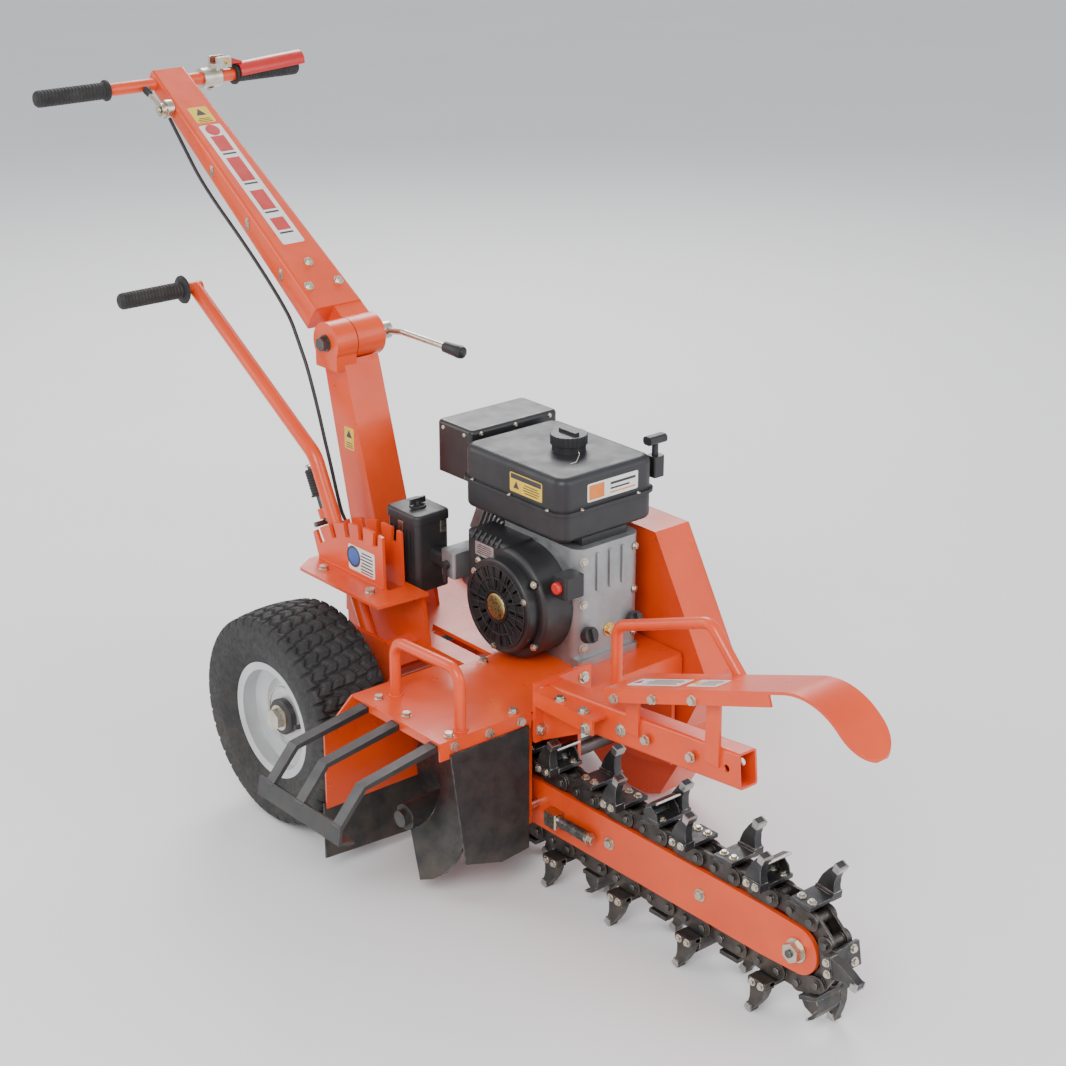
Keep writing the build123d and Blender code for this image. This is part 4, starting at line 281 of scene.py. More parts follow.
FINISHES = {
    ORANGE: ("chassis_frame", "quadrant", "lower_post", "deck_panel", "auger_rear_panel", "front_frame",
             "guard_plate", "lifting_loops", "boom", "belt_cover", "depth_lever", "upper_mast", "handlebar",
             "axle_carriage"),
    BLACK: ("muffler_guard", "engine_brackets", "auger_cage", "recoil_cover"),
    SCUFFED: ("auger_wear_plates", "auger_flight"),
    SILVER: ("left_rim", "right_rim"),
    ZINC: ("boom_bolts", "frame_bolts", "wheel_nuts", "clamp_lever", "control_brackets", "throttle_lever"),
    CHAIN: ("chain_links", "nose_roller"),
    DARK: ("drive_shaft", "shaft_wheels", "crankshaft", "flywheel_fan", "jackshaft", "idler_arm", "latch_rod",
           "hinge_bolt"),
    SOOT: ("muffler",),
    CAST: ("crankcase", "cylinder_head", "carburettor"),
    PLASTIC: ("fan_housing", "air_filter_box", "air_filter_lid", "fuel_tank", "fuel_cap", "choke_lever",
              "oil_plugs", "starter_grip"),
    RED: ("clutch_lever", "stop_button"),
    SLEEVE: ("mast_cable", "post_cable", "drive_belts"),
    CUTTER: ("chain_cutters",),
    TYRE: ("left_tyre", "right_tyre"),
    RUBBER: ("handlebar_grips", "depth_grip"),
}


def paint_nodes():
    """Finish of each CAD node."""
    for finish, names in FINISHES.items():
        for name in names:
            data = NODES[name].data
            data.materials.clear()
            data.materials.append(finish)


paint_nodes()


# ------------ mesh building
def facing(point, normal, up=(0, 0, 1)):
    """Matrix at a point with z along the normal and y as near up as it can be."""
    z = Vector(normal).normalized()
    x = Vector(up).cross(z)
    if x.length < 0.01:
        x = Vector((1, 0, 0)).cross(z) if abs(z.x) < 0.9 else Vector((0, 1, 0)).cross(z)
    x.normalize()
    y = z.cross(x)
    turned = Matrix((x, y, z)).transposed().to_4x4()
    turned.translation = point
    return turned


trees = {}


def meet(node, start, way):
    """Point and outward normal where a ray from a machine point first meets a CAD node."""
    if node not in trees:
        data = NODES[node].data
        trees[node] = BVHTree.FromPolygons([v.co for v in data.vertices], [p.vertices for p in data.polygons])
    way = Vector(way).normalized()
    point, normal, _, _ = trees[node].ray_cast(at(*start), way)
    if point is None:
        raise ValueError(f"the ray from {start} misses {node}")
    if normal.dot(way) > 0:
        normal = -normal
    return point, normal


def seat(node, start, way, up=(0, 0, 1)):
    """Matrix standing on a CAD node's surface where a ray meets it."""
    point, normal = meet(node, start, way)
    return facing(point, normal, up)


# Rays start outside the machine, on these sides, and run inward.
RIGHT, LEFT, AHEAD, ABOVE = -400, 700, 900, 900


def on_right(node, x, z):
    """Place on a node's face that looks to the machine's right."""
    return seat(node, (x, RIGHT, z), (0, 1, 0))


def on_left(node, x, z):
    """Place on a node's face that looks to the machine's left."""
    return seat(node, (x, LEFT, z), (0, -1, 0))


def on_front(node, y, z):
    """Place on a node's face that looks ahead."""
    return seat(node, (AHEAD, y, z), (-1, 0, 0))


def on_top(node, x, y, up):
    """Place on a node's upper face."""
    return seat(node, (x, y, ABOVE), (0, 0, -1), up)


def box_outline(width, height, rounding=0.0, u=0.0):
    """Rectangle with rounded corners, in metres, as points; u moves it sideways."""
    if not rounding:
        return [(u + sx * width / 2, sy * height / 2) for sx, sy in ((-1, -1), (1, -1), (1, 1), (-1, 1))]
    points = []
    for sx, sy, start in ((1, -1, -90), (1, 1, 0), (-1, 1, 90), (-1, -1, 180)):
        for step in range(5):
            angle = math.radians(start + step * 22.5)
            points.append((u + sx * (width / 2 - rounding) + rounding * math.cos(angle),
                           sy * (height / 2 - rounding) + rounding * math.sin(angle)))
    return points


def disc_outline(radius, count=32, turn=0.0):
    """Regular outline with that many corners."""
    angles = [turn + 2 * math.pi * step / count for step in range(count)]
    return [(radius * math.cos(angle), radius * math.sin(angle)) for angle in angles]


class Piece:
    """Mesh piece under construction, with its materials and the body that it rides on."""

    def __init__(self, name, body, *materials):
        self.name, self.body, self.materials = name, body, materials
        self.mesh = bmesh.new()

    def skin(self, rings, index):
        """Side and end faces over a run of rings."""
        faces = [self.mesh.faces.new(list(reversed(rings[0]))), self.mesh.faces.new(rings[-1])]
        for near, far in zip(rings, rings[1:]):
            for one in range(len(near)):
                two = (one + 1) % len(near)
                faces.append(self.mesh.faces.new((near[one], near[two], far[two], far[one])))
        for face in faces:
            face.material_index = index

    def close(self, rings, index=0):
        """Faces of a ring solid, whose last ring meets its first."""
        for step, near in enumerate(rings):
            far = rings[(step + 1) % len(rings)]
            for one in range(len(near)):
                two = (one + 1) % len(near)
                face = self.mesh.faces.new((near[one], far[one], far[two], near[two]))
                face.material_index = index

    def prism(self, place, outline, low, high, index=0, inset=0.0):
        """Closed prism on an outline; inset narrows its top, in metres."""
        centre = [sum(p[i] for p in outline) / len(outline) for i in (0, 1)]
        rings = []
        for level, shrink in ((low, 0.0), (high, inset)):
            ring = []
            for point in outline:
                out = Vector((point[0] - centre[0], point[1] - centre[1]))
                kept = out * (1 - shrink / max(out.length, 1e-6))
                spot = Vector((centre[0] + kept.x, centre[1] + kept.y, level))
                ring.append(self.mesh.verts.new(place @ spot))
            rings.append(ring)
        self.skin(rings, index)

    def lathe(self, place, profile, segments=48, index=0):
        """Closed ring solid: profile of (offset along z, radius) turned about the place's z."""
        rings = []
        for step in range(segments):
            angle = 2 * math.pi * step / segments
            rings.append([self.mesh.verts.new(place @ Vector((r * math.cos(angle), r * math.sin(angle), z)))
                          for z, r in profile])
        self.close(rings, index)

    def sweep(self, points, radius, sides=12, index=0):
        """Round bar through points; radius is a number or a function of the share along it."""
        size = radius if callable(radius) else lambda share: radius
        points = [Vector(point) for point in points]
        side = Vector((0, 0, 1)).cross(points[1] - points[0])
        if side.length < 1e-6:
            side = Vector((0, 1, 0))
        rings = []
        for step, point in enumerate(points):
            ahead = points[min(step + 1, len(points) - 1)] - points[max(step - 1, 0)]
            ahead.normalize()
            side = (side - ahead * side.dot(ahead)).normalized()
            up = ahead.cross(side)
            wide = size(step / (len(points) - 1))
            ring = []
            for corner in range(sides):
                angle = 2 * math.pi * corner / sides
                out = side * math.cos(angle) + up * math.sin(angle)
                ring.append(self.mesh.verts.new(point + out * wide))
            rings.append(ring)
        self.skin(rings, index)

    def bolt(self, place, across, index=0):
        """Hexagon bolt head with a chamfer, on a washer; across flats in metres."""
        washer = across * 0.12
        top = washer + across * 0.36
        hexagon = disc_outline(across * 0.577, 6)
        disc = [(0, across * 0.3), (0, across * 0.82), (washer, across * 0.8), (washer, across * 0.3)]
        self.lathe(place, disc, 28, index)
        self.prism(place, hexagon, washer, top, index)
        self.prism(place, hexagon, top, washer + across * 0.42, index, across * 0.06)

    def screw(self, place, radius, index=0):
        """Low round screw head with a recess ring."""
        head = [(0, 0.0002), (0, radius), (radius * 0.4, radius * 0.86), (radius * 0.55, radius * 0.5),
                (radius * 0.3, radius * 0.42), (radius * 0.3, 0.0002)]
        self.lathe(place, head, 20, index)

    def done(self, bevel=0.0, smooth=34):
        """Finished object, riding on its body."""
        bmesh.ops.remove_doubles(self.mesh, verts=self.mesh.verts, dist=1e-7)
        bmesh.ops.recalc_face_normals(self.mesh, faces=self.mesh.faces)
        data = bpy.data.meshes.new(self.name)
        self.mesh.to_mesh(data)
        self.mesh.free()
        data.shade_smooth()
        data.set_sharp_from_angle(angle=math.radians(smooth))
        for material in self.materials:
            data.materials.append(material)
        made = shown(self.name, data)
        if bevel:
            rounded = made.modifiers.new("rounded", "BEVEL")
            rounded.width, rounded.segments = bevel, 2
            rounded.limit_method = "ANGLE"
            rounded.harden_normals = True
        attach(made, self.body)
        return made


# ------------ wheels
TREAD_DEPTH, TREAD_START = 0.0065, 0.9
CROWN_DROP = 0.0062
LUG_ROWS, LUG_PITCH, ZIGZAG = 6, 0.031, 0.42
GROOVE_FLOOR, GROOVE_SLOPE = 0.0019, 0.0016
BEAD_RADIUS, BEAD_WIDTH = 0.495, 0.73
SHOULDER_WIDTH, SHOULDER_DROP = 0.014, 0.02
WALL_ARC, WALL_INSET = 0.62, 0.0024
WALL_STEPS, SHOULDER_STEPS, CROWN_STEPS = 12, 5, 20
WALL_RINGS = ((0.82, 0.0008), (0.56, -0.0004))
TURNS = 848
HUB_REACH, VALVE_REACH = 44.2, 30


def tyre_section(radius, half):
    """Closed outline of (across, radius): bulged walls, round shoulders, crown and beads."""
    bead_radius, bead_half = radius * BEAD_RADIUS, half * BEAD_WIDTH
    shoulder, wall_top = half - SHOULDER_WIDTH, radius - SHOULDER_DROP
    outline = []
    for step in range(WALL_STEPS + 1):
        share = step / WALL_STEPS
        bulge = math.sin(share * math.pi * WALL_ARC) / math.sin(math.pi * WALL_ARC)
        outline.append((bead_half + (half - WALL_INSET - bead_half) * min(1, bulge),
                        bead_radius + (wall_top - bead_radius) * share))
    for step in range(1, SHOULDER_STEPS + 1):
        angle = math.radians(step * 15)
        outline.append((shoulder + 0.0114 * math.cos(angle), wall_top + 0.0138 * math.sin(angle)))
    for step in range(CROWN_STEPS + 1):
        share = step / CROWN_STEPS
        outline.append((shoulder * (1 - share), radius - CROWN_DROP * (1 - share) ** 2))
    section = [(-y, r) for y, r in outline] + [(y, r) for y, r in reversed(outline[:-1])]
    section += [(bead_half - 0.009, bead_radius), (0.0, bead_radius + 0.02), (0.009 - bead_half, bead_radius)]
    return section


def tread_sink(share, y, r, radius, half):
    """Depth of the tread at a share of a turn: grooves between rows of zigzag lugs."""
    row_width = 2 * (half - 0.004) / LUG_ROWS
    along = share * round(2 * math.pi * radius / LUG_PITCH)
    zig = abs((along * 2) % 2 - 1) - 0.5
    across = (y + zig * row_width * ZIGZAG + half * 2) / row_width
    row = math.floor(across)
    gap_across = min(across - row, 1 - (across - row)) * row_width
    shift = (along + row * 0.5 + 0.25 * (row % 3)) % 1
    gap_along = min(shift, 1 - shift) * LUG_PITCH
    gap = min(gap_across, gap_along * 1.15)
    sunk = TREAD_DEPTH * (1 - min(1, max(0, (gap - GROOVE_FLOOR) / GROOVE_SLOPE)))
    return sunk * min(1, (r - radius * TREAD_START) / (radius * 0.035))


def wall_sink(r, radius):
    """Fine rings moulded on the tyre's wall: one sunk, one raised."""
    for share, sunk in WALL_RINGS:
        if abs(r - radius * share) < 0.0016:
            return sunk
    return 0.0


def add_tyre(hand):
    """Turf tyre with rows of zigzag lugs, ribbed shoulders and a rounded wall."""
    low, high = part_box(hand + "_tyre")
    centre = (low + high) / 2
    radius, half = (high.z - low.z) / 2, (high.y - low.y) / 2
    section = tyre_section(radius, half)
    tyre = Piece(hand + "_turf_tyre", hand + "_wheel", TYRE)
    rings = []
    for turn in range(TURNS):
        share = turn / TURNS
        angle = 2 * math.pi * share
        ring = []
        for y, r in section:
            if r > radius * TREAD_START:
                reach = r - tread_sink(share, y, r, radius, half)
            else:
                reach = r - wall_sink(r, radius)
            spot = Vector((reach * math.cos(angle), y, reach * math.sin(angle)))
            ring.append(tyre.mesh.verts.new(centre + spot))
        rings.append(ring)
    tyre.close(rings)
    made = tyre.done(smooth=180)
    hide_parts(hand + "_tyre")


def add_hub_cap(hand, side):
    """Hub cap, grease ring and valve on a wheel's outer side."""
    hub = middle(hand + "_rim")
    place = facing(at(hub.x, hub.y + side * HUB_REACH, hub.z), (0, side, 0))
    cap = Piece(hand + "_hub_cap", hand + "_wheel", PLASTIC, ZINC)
    cap.lathe(place, [(-0.018, 0.0335), (-0.002, 0.0345), (0.001, 0.031), (0.002, 0.026), (0.0005, 0.014),
                      (-0.002, 0.0135), (-0.018, 0.0325)], 56)
    cap.lathe(place, [(-0.0145, 0.052), (-0.0125, 0.0525), (-0.0125, 0.0555), (-0.0145, 0.056)], 56, 1)
    valve = facing(at(hub.x + 83, hub.y + side * VALVE_REACH, hub.z + 12), (-0.35, side, 0))
    cap.lathe(valve, [(0, 0.0002), (0, 0.0052), (0.008, 0.0042), (0.022, 0.0036), (0.022, 0.0046),
                      (0.032, 0.0044), (0.034, 0.0002)], 20)
    cap.done()


for hand, side in (("right", -1), ("left", 1)):
    add_tyre(hand)
    add_hub_cap(hand, side)


# ------------ grips
BAR = middle("handlebar")
GRIP_START = 147
LATCH_LEAN = math.radians(26.8)
ROD_RADIUS = 0.0062
FINGER_LENGTH, FINGER_RIBS, RIB_PITCH = 0.062, 9, 0.005


def ribbed_grip(name, body, start, end, radius, bore, ribs, stands_for=None):
    """Rubber grip with rings of ribs, a flange at its inner end and a domed outer end."""
    run = Vector(end) - Vector(start)
    length = run.length / 1000
    profile = [(0.0, bore), (0.0, radius + 0.0038), (0.0045, radius + 0.0042), (0.006, radius + 0.0005)]
    pitch = (length - 0.016) / ribs
    for rib in range(ribs):
        base = 0.008 + rib * pitch
        profile += [(base, radius - 0.0014), (base + pitch * 0.22, radius - 0.0002),
                    (base + pitch * 0.5, radius), (base + pitch * 0.72, radius - 0.0002),
                    (base + pitch * 0.92, radius - 0.0014)]
    profile += [(length - 0.006, radius - 0.0004), (length - 0.002, radius - 0.003), (length, radius - 0.007),
                (length, 0.0003), (length - 0.004, 0.0003), (length - 0.0045, bore)]
    grip = Piece(name, body, RUBBER)
    grip.lathe(facing(at(*start), run), profile, 56)
    made = grip.done(smooth=50)
    if stands_for:
        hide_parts(stands_for)


def add_bar_grips():
    """Two grips of the handlebar, of which the right one stands for the CAD pair."""
    low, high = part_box("handlebar_grips")
    reach = (high.y - low.y) / 2 * 1000
    for name, side, stands_for in (("right_grip", -1, "handlebar_grips"), ("left_grip", 1, None)):
        ribbed_grip(name, "mast", (BAR.x, side * GRIP_START, BAR.z), (BAR.x, side * reach, BAR.z), 0.0168,
                    0.0132, 19, stands_for)


def add_lever_grip():
    """Grip of the depth lever, with its wide flange."""
    lever = middle("depth_grip")
    low, high = corners("depth_grip")
    inner, outer = (lever.x, high.y, lever.z), (lever.x, low.y, lever.z)
    ribbed_grip("lever_grip", "carriage", inner, outer, 0.0165, 0.0121, 18, "depth_grip")
    flange = Piece("lever_grip_flange", "carriage", RUBBER)
    flange.lathe(facing(at(*inner), (0, -1, 0)), [(0, 0.0125), (0, 0.026), (0.002, 0.0282), (0.005, 0.0275),
                                                  (0.0075, 0.018), (0.0075, 0.0125)], 48)
    flange.done()


def add_latch_grip():
    """Ribbed finger grip on the latch rod, and a washer at the rod's end."""
    low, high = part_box("latch_rod")
    way = Vector((-math.sin(LATCH_LEAN), 0, math.cos(LATCH_LEAN)))
    end = Vector((low.x, (low.y + high.y) / 2, high.z))
    end += Vector((ROD_RADIUS * math.cos(LATCH_LEAN), 0, -ROD_RADIUS * math.sin(LATCH_LEAN)))
    profile = [(0.0, 0.0112), (0.0, 0.0145), (0.003, 0.015)]
    for rib in range(FINGER_RIBS):
        base = 0.005 + rib * RIB_PITCH
        profile += [(base, 0.0121), (base + 0.0018, 0.0134), (base + 0.0035, 0.0134)]
    profile += [(0.051, 0.013), (0.053, 0.0112)]
    finger = Piece("latch_finger_grip", "latch", RUBBER, ZINC)
    finger.lathe(facing(end - way * FINGER_LENGTH, way), profile, 40)
    finger.lathe(facing(end - way * 0.004, way),
                 [(0, 0.0066), (0, 0.0098), (0.003, 0.0098), (0.0048, 0.0066)], 32, 1)
    finger.done(smooth=50)


add_bar_grips()
add_lever_grip()
add_latch_grip()


# ------------ labels
FILM_BOTTOM, FILM_TOP, INK_TOP = 0.00005, 0.0003, 0.00042


class Label(Piece):
    """Printed film on a surface, with raised generic marks and no lettering."""

    def __init__(self, name, body, place, size, ground, *inks):
        super().__init__(name, body, ground, *inks)
        self.place = place
        self.width, self.height = size
        self.prism(place, box_outline(*size, min(size) * 0.09), FILM_BOTTOM, FILM_TOP)

    def spot_at(self, u, v):
        """Place at shares of the label's size from its middle."""
        return moved(self.place, u * self.width, v * self.height)

    def bar(self, u, v, wide, tall, ink=1):
        """Bar with its sides as shares of the label's size."""
        outline = box_outline(wide * self.width, tall * self.height)
        self.prism(self.spot_at(u, v), outline, FILM_TOP, INK_TOP, ink)

    def disc(self, u, v, radius, ink=1):
        """Disc; its radius is a share of the height, as it is for the other round marks."""
        self.prism(self.spot_at(u, v), disc_outline(radius * self.height), FILM_TOP, INK_TOP, ink)

    def triangle(self, u, v, radius, ink=1):
        """Triangle that points along the label's height."""
        outline = disc_outline(radius * self.height, 3, math.pi / 2)
        self.prism(self.spot_at(u, v), outline, FILM_TOP, INK_TOP, ink)

    def ring(self, u, v, radius, ink=1):
        """Thin ring."""
        size = radius * self.height
        profile = [(FILM_TOP, size * 0.78), (FILM_TOP, size), (0.00044, size), (0.00044, size * 0.78)]
        self.lathe(self.spot_at(u, v), profile, 40, ink)

    def lines(self, u, v, wide, count, step, ink=1):
        """Column of thin bars that stands for small print."""
        for row in range(count):
            self.bar(u, v - row * step, wide * (1.0 if row % 3 else 0.82), step * 0.42, ink)


def add_frame_labels():
    """Labels of the notch plate and of the post."""
    plate = Label("notch_plate_label", "chassis", on_right("quadrant", 26, 478), (0.082, 0.05), WHITE,
                  LABEL_BLUE, LABEL_BLACK, LABEL_RED)
    plate.disc(-0.3, 0.05, 0.34, 1)
    plate.ring(-0.3, 0.05, 0.42, 2)
    plate.lines(0.2, 0.34, 0.46, 6, 0.13, 2)
    plate.bar(0.2, -0.42, 0.46, 0.06, 3)
    plate.done()

    sticker = Label("post_sticker", "chassis", on_right("lower_post", -134, 655), (0.03, 0.044), YELLOW,
                    LABEL_BLACK)
    sticker.triangle(0, 0.16, 0.24)
    sticker.lines(0, -0.2, 0.7, 3, 0.1)
    sticker.done()


def add_engine_labels():
    """Labels of the fuel tank and of the fan housing."""
    front = Label("tank_front_label", "chassis", on_front("fuel_tank", 142, 668), (0.12, 0.034), WHITE,
                  LABEL_ORANGE, LABEL_BLACK)
    front.bar(-0.32, 0, 0.3, 0.8, 1)
    front.bar(0.2, 0.2, 0.5, 0.14, 2)
    front.bar(0.14, -0.08, 0.38, 0.1, 2)
    front.bar(0.2, -0.3, 0.5, 0.08, 1)
    front.done()

    side = Label("tank_side_label", "chassis", on_right("fuel_tank", 312, 668), (0.088, 0.036), YELLOW,
                 LABEL_BLACK)
    side.bar(0, 0.32, 0.94, 0.26)
    side.triangle(-0.3, -0.16, 0.26)
    side.lines(0.16, 0.04, 0.5, 4, 0.13)
    side.done()

    rating = Label("engine_rating_label", "chassis", on_right("fan_housing", 236, 532), (0.052, 0.026), FOIL,
                   LABEL_BLACK)
    rating.lines(0, 0.3, 0.8, 5, 0.15)
    rating.done()


def add_guard_labels():
    """Two warning labels on the guard's top face, and one on the belt cover."""
    low = corners("guard_plate")[0]
    for number, along, wide, colour in ((1, 95.0, 0.13, LABEL_RED), (2, 205.0, 0.07, YELLOW)):
        place = on_top("guard_plate", low.x + along, low.y + 38, (0, 1, 0))
        sheet = Label(f"guard_label_{number}", "chassis", place, (wide, 0.036), WHITE, LABEL_BLACK, colour)
        sheet.triangle(-0.4, 0, 0.34, 2)
        sheet.lines(0.08, 0.3, 0.66, 5, 0.15)
        sheet.done()

    cover = Label("belt_cover_label", "chassis", on_left("belt_cover", 400, 440), (0.09, 0.05), WHITE,
                  LABEL_BLACK, LABEL_RED)
    cover.triangle(-0.3, 0, 0.34, 2)
    cover.lines(0.18, 0.3, 0.5, 6, 0.12)
    cover.done()


add_frame_labels()
add_engine_labels()
add_guard_labels()

# ------------ mast
BOLT = middle("hinge_bolt")
HINGE = Vector((BOLT.x, 0, BOLT.z))
BAR_MIDDLE = Vector((BAR.x, 0, BAR.z))
MAST_WAY = (BAR_MIDDLE - HINGE).normalized()
MAST_NORMAL = Vector((MAST_WAY.z, 0, -MAST_WAY.x))
MAST_RAY = 150
DECAL_BLOCKS = ((0.34, 0.13), (0.12, 0.2), (-0.14, 0.16), (-0.34, 0.1))
STAND_FROM_BAR = 72


def on_mast(distance, across=0, up=(0, 0, 1)):
    """Place on the mast's upper face, at a distance from the hinge."""
    start = HINGE + MAST_WAY * distance + MAST_NORMAL * MAST_RAY + Vector((0, across, 0))
    return seat("upper_mast", start, -MAST_NORMAL, up)


def add_mast_labels():
    """Long decal of plain blocks, and a caution label above it."""
    place = on_mast(400, up=MAST_WAY)
    decal = Label("mast_decal", "mast", place, (0.05, 0.34), WHITE, LABEL_RED, LABEL_BLACK)
    for height, tall in DECAL_BLOCKS:
        decal.bar(0.0, height, 0.62, tall)
        decal.bar(0.0, height - tall * 0.5 - 0.022, 0.62, 0.014, 2)
    decal.disc(0, 0.455, 0.045)
    decal.done()
    caution = Label("mast_caution", "mast", on_mast(600, up=MAST_WAY), (0.044, 0.046), YELLOW, LABEL_BLACK)
    caution.triangle(0, 0.12, 0.28)
    caution.lines(0, -0.22, 0.7, 3, 0.1)
    caution.done()


def add_mast_hardware():
    """Bolts on the mast's upper face, and the clips that hold the throttle cable."""
    trim = Piece("mast_hardware", "mast", ZINC)
    for distance, across in ((118, 34), (118, -34), (176, 0)):
        trim.bolt(on_mast(distance, across), 0.0125)
    low, high = corners("mast_cable")
    for share in (0.2, 0.45, 0.72):
        x = high.x * (1 - share) + low.x * share
        clip = on_right("upper_mast", x, HINGE.z + (x - HINGE.x) * MAST_WAY.z / MAST_WAY.x)
        trim.prism(clip, box_outline(0.011, 0.024, 0.003), 0, 0.0016)
        trim.screw(moved(clip, 0, 0.007, 0.0016), 0.0035)
    trim.done(bevel=0.0003)


def add_control_hardware():
    """Bolts of the clutch lever's pivot, of the handlebar's clamp and of the throttle's stand."""
    controls = Piece("control_hardware", "mast", BRASS, ZINC)
    for way in (-1, 1):
        controls.bolt(facing(at(BAR.x + 4 + way * 17, 122, BAR.z + 31), (way, 0, 0)), 0.0085)
    controls.bolt(facing(at(BAR.x, 91, BAR.z - 20), (0, 0, -1)), 0.011, 1)
    controls.bolt(facing(at(BAR.x - 20.5, 82, BAR.z), (-1, 0, 0)), 0.0095)
    stand_y = corners("control_brackets")[0].y
    stud = HINGE + MAST_WAY * ((BAR_MIDDLE - HINGE).length - STAND_FROM_BAR)
    controls.bolt(facing(at(stud.x, stand_y, stud.z), (0, -1, 0)), 0.009, 1)
    controls.done()


def add_knobs():
    """Knobs of the throttle lever and of the mast's clamp lever."""
    low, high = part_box("throttle_lever")
    tip = Vector((low.x + 0.003, low.y + 0.0045, high.z - 0.003))
    knob = Piece("throttle_knob", "throttle", PLASTIC)
    knob.lathe(facing(tip, (-40, -9, 34)),
               [(-0.012, 0.0046), (-0.012, 0.0068), (-0.002, 0.0082), (0.003, 0.0074), (0.006, 0.004),
                (0.006, 0.0004), (-0.002, 0.0004), (-0.002, 0.0046)], 28)
    knob.done()

    way = Vector((108, 18, -8)).normalized()
    end = at(BOLT.x + 170, 0, BOLT.z + 2) + Vector((0, (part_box("clamp_lever")[1].y - ORIGIN.y) - 0.0173, 0))
    knob = Piece("clamp_knob", "clamp", PLASTIC)
    knob.lathe(facing(end, way), [(-0.001, 0.0064), (-0.001, 0.0105), (0.006, 0.0108), (0.024, 0.0118),
                                  (0.036, 0.0128), (0.043, 0.0112), (0.0462, 0.006), (0.0464, 0.0004),
                                  (0.0445, 0.0004), (0.0445, 0.0101), (0.002, 0.0101), (0.002, 0.0064)], 40)
    knob.done()


add_mast_labels()
add_mast_hardware()
add_control_hardware()
add_knobs()


# ------------ welds
SCALLOP, WELD_RADIUS = 0.0011, 0.0022
PLATE_TOP, LOOP_FOOT = 444, 346


def weld(name, points, radius=WELD_RADIUS, closed=False):
    """Scalloped weld bead through machine points."""
    path = [at(*point) for point in points]
    if closed:
        path.append(path[0])
    fine = []
    for start, end in zip(path, path[1:]):
        count = max(2, int((end - start).length / SCALLOP))
        fine += [start.lerp(end, step / count) for step in range(count)]
    fine.append(path[-1])
    bead = Piece(name, "chassis", ORANGE)
    bead.sweep(fine, lambda share: radius * (0.8 + 0.24 * abs(math.sin(share * len(fine) * 0.62))), 10)
    bead.done()


def add_welds():
    """Welds at the feet of the post, the front tube, the notch plate and the near bent bar."""
    corners = ((-127.5, -40.5), (-36.5, -40.5), (-36.5, 40.5), (-127.5, 40.5))
    weld("weld_post_foot", [(x, y, PLATE_TOP) for x, y in corners], closed=True)
    weld("weld_tube_foot", [(503.5, -90.5, 332), (503.5, -90.5, 386)], 0.0026)
    weld("weld_notch_near", [(-110, -134.5, PLATE_TOP), (92, -134.5, PLATE_TOP)])
    angles = [step * math.pi / 12 for step in range(24)]
    for number, x in ((1, 296), (2, 477)):
        ring = [(x + 11 * math.cos(angle), 11 * math.sin(angle) - 262, LOOP_FOOT) for angle in angles]
        weld(f"weld_loop_{number}", ring, 0.0024, closed=True)


add_welds()


# ------------ chain cutters
PITCH, TEETH, RUN_PITCHES = 42.0, 9, 17.5
LOOP_RADIUS = PITCH / 2 / math.sin(math.pi / TEETH)
NOSE = middle("nose_roller")
DRIVE_X = NOSE.x - RUN_PITCHES * PITCH
LINKS = round(2 * RUN_PITCHES + TEETH)
OUTER_LINKS = range(1, LINKS, 2)
FIN_Z = 0.037
FLIP = Matrix.Rotation(math.pi, 4, "X")


def chain_pin(index):
    """Place of a chain pin as machine (x, z)."""
    step = index % LINKS
    if step <= RUN_PITCHES:
        return Vector((DRIVE_X + step * PITCH, NOSE.z + LOOP_RADIUS))
    past = step - RUN_PITCHES
    if past <= TEETH / 2:
        angle = math.radians(past * 360 / TEETH)
        return Vector((NOSE.x + LOOP_RADIUS * math.sin(angle), NOSE.z + LOOP_RADIUS * math.cos(angle)))
    low = past - TEETH / 2
    if low <= RUN_PITCHES:
        return Vector((NOSE.x - low * PITCH, NOSE.z - LOOP_RADIUS))
    angle = math.radians((low - RUN_PITCHES) * 360 / TEETH)
    return Vector((DRIVE_X - LOOP_RADIUS * math.sin(angle), NOSE.z - LOOP_RADIUS * math.cos(angle)))


def link_place(index):
    """Matrix of a link: x along the chain, y outward, z to the machine's right."""
    start, end = chain_pin(index), chain_pin(index + 1)
    ahead = (end - start).normalized()
    x = Vector((ahead.x, 0, ahead.y))
    z = Vector((0, -1, 0))
    place = Matrix((x, z.cross(x), z)).transposed().to_4x4()
    centre = (start + end) / 2
    place.translation = at(centre.x, NOSE.y, centre.y)
    return place


def block(half, bottom, top):
    """Rectangle on a link, as (along, outward) points."""
    return [(-half, bottom), (-half, top), (half, top), (half, bottom)]


def add_fin(cutters, place, side):
    """Hooked tooth on one side of the chain, with a hardened face and two bolts."""
    near = moved(place, z=side * FIN_Z)
    blade = [(-0.019, 0.021), (-0.0165, 0.036), (-0.010, 0.052), (0.001, 0.068), (0.0105, 0.079),
             (0.0125, 0.0845), (0.0255, 0.0787), (0.020, 0.068), (0.0165, 0.055), (0.0165, 0.040),
             (0.019, 0.030), (0.0195, 0.021)]
    face = [(0.0125, 0.0842), (0.0262, 0.0785), (0.0215, 0.0675), (0.0105, 0.071)]
    foot = [(-0.019, 0.017), (-0.019, 0.031), (0.0195, 0.031), (0.0195, 0.017)]
    cutters.prism(near, blade, -0.008, 0.008)
    cutters.prism(near, face, -0.0108, 0.0108, 1)
    cutters.prism(near, foot, -0.011, 0.011)
    outer = moved(place, 0, 0.0245, side * 0.048)
    if side < 0:
        outer = outer @ FLIP
    for x in (-0.0095, 0.0095):
        cutters.bolt(moved(outer, x), 0.0088, 2)


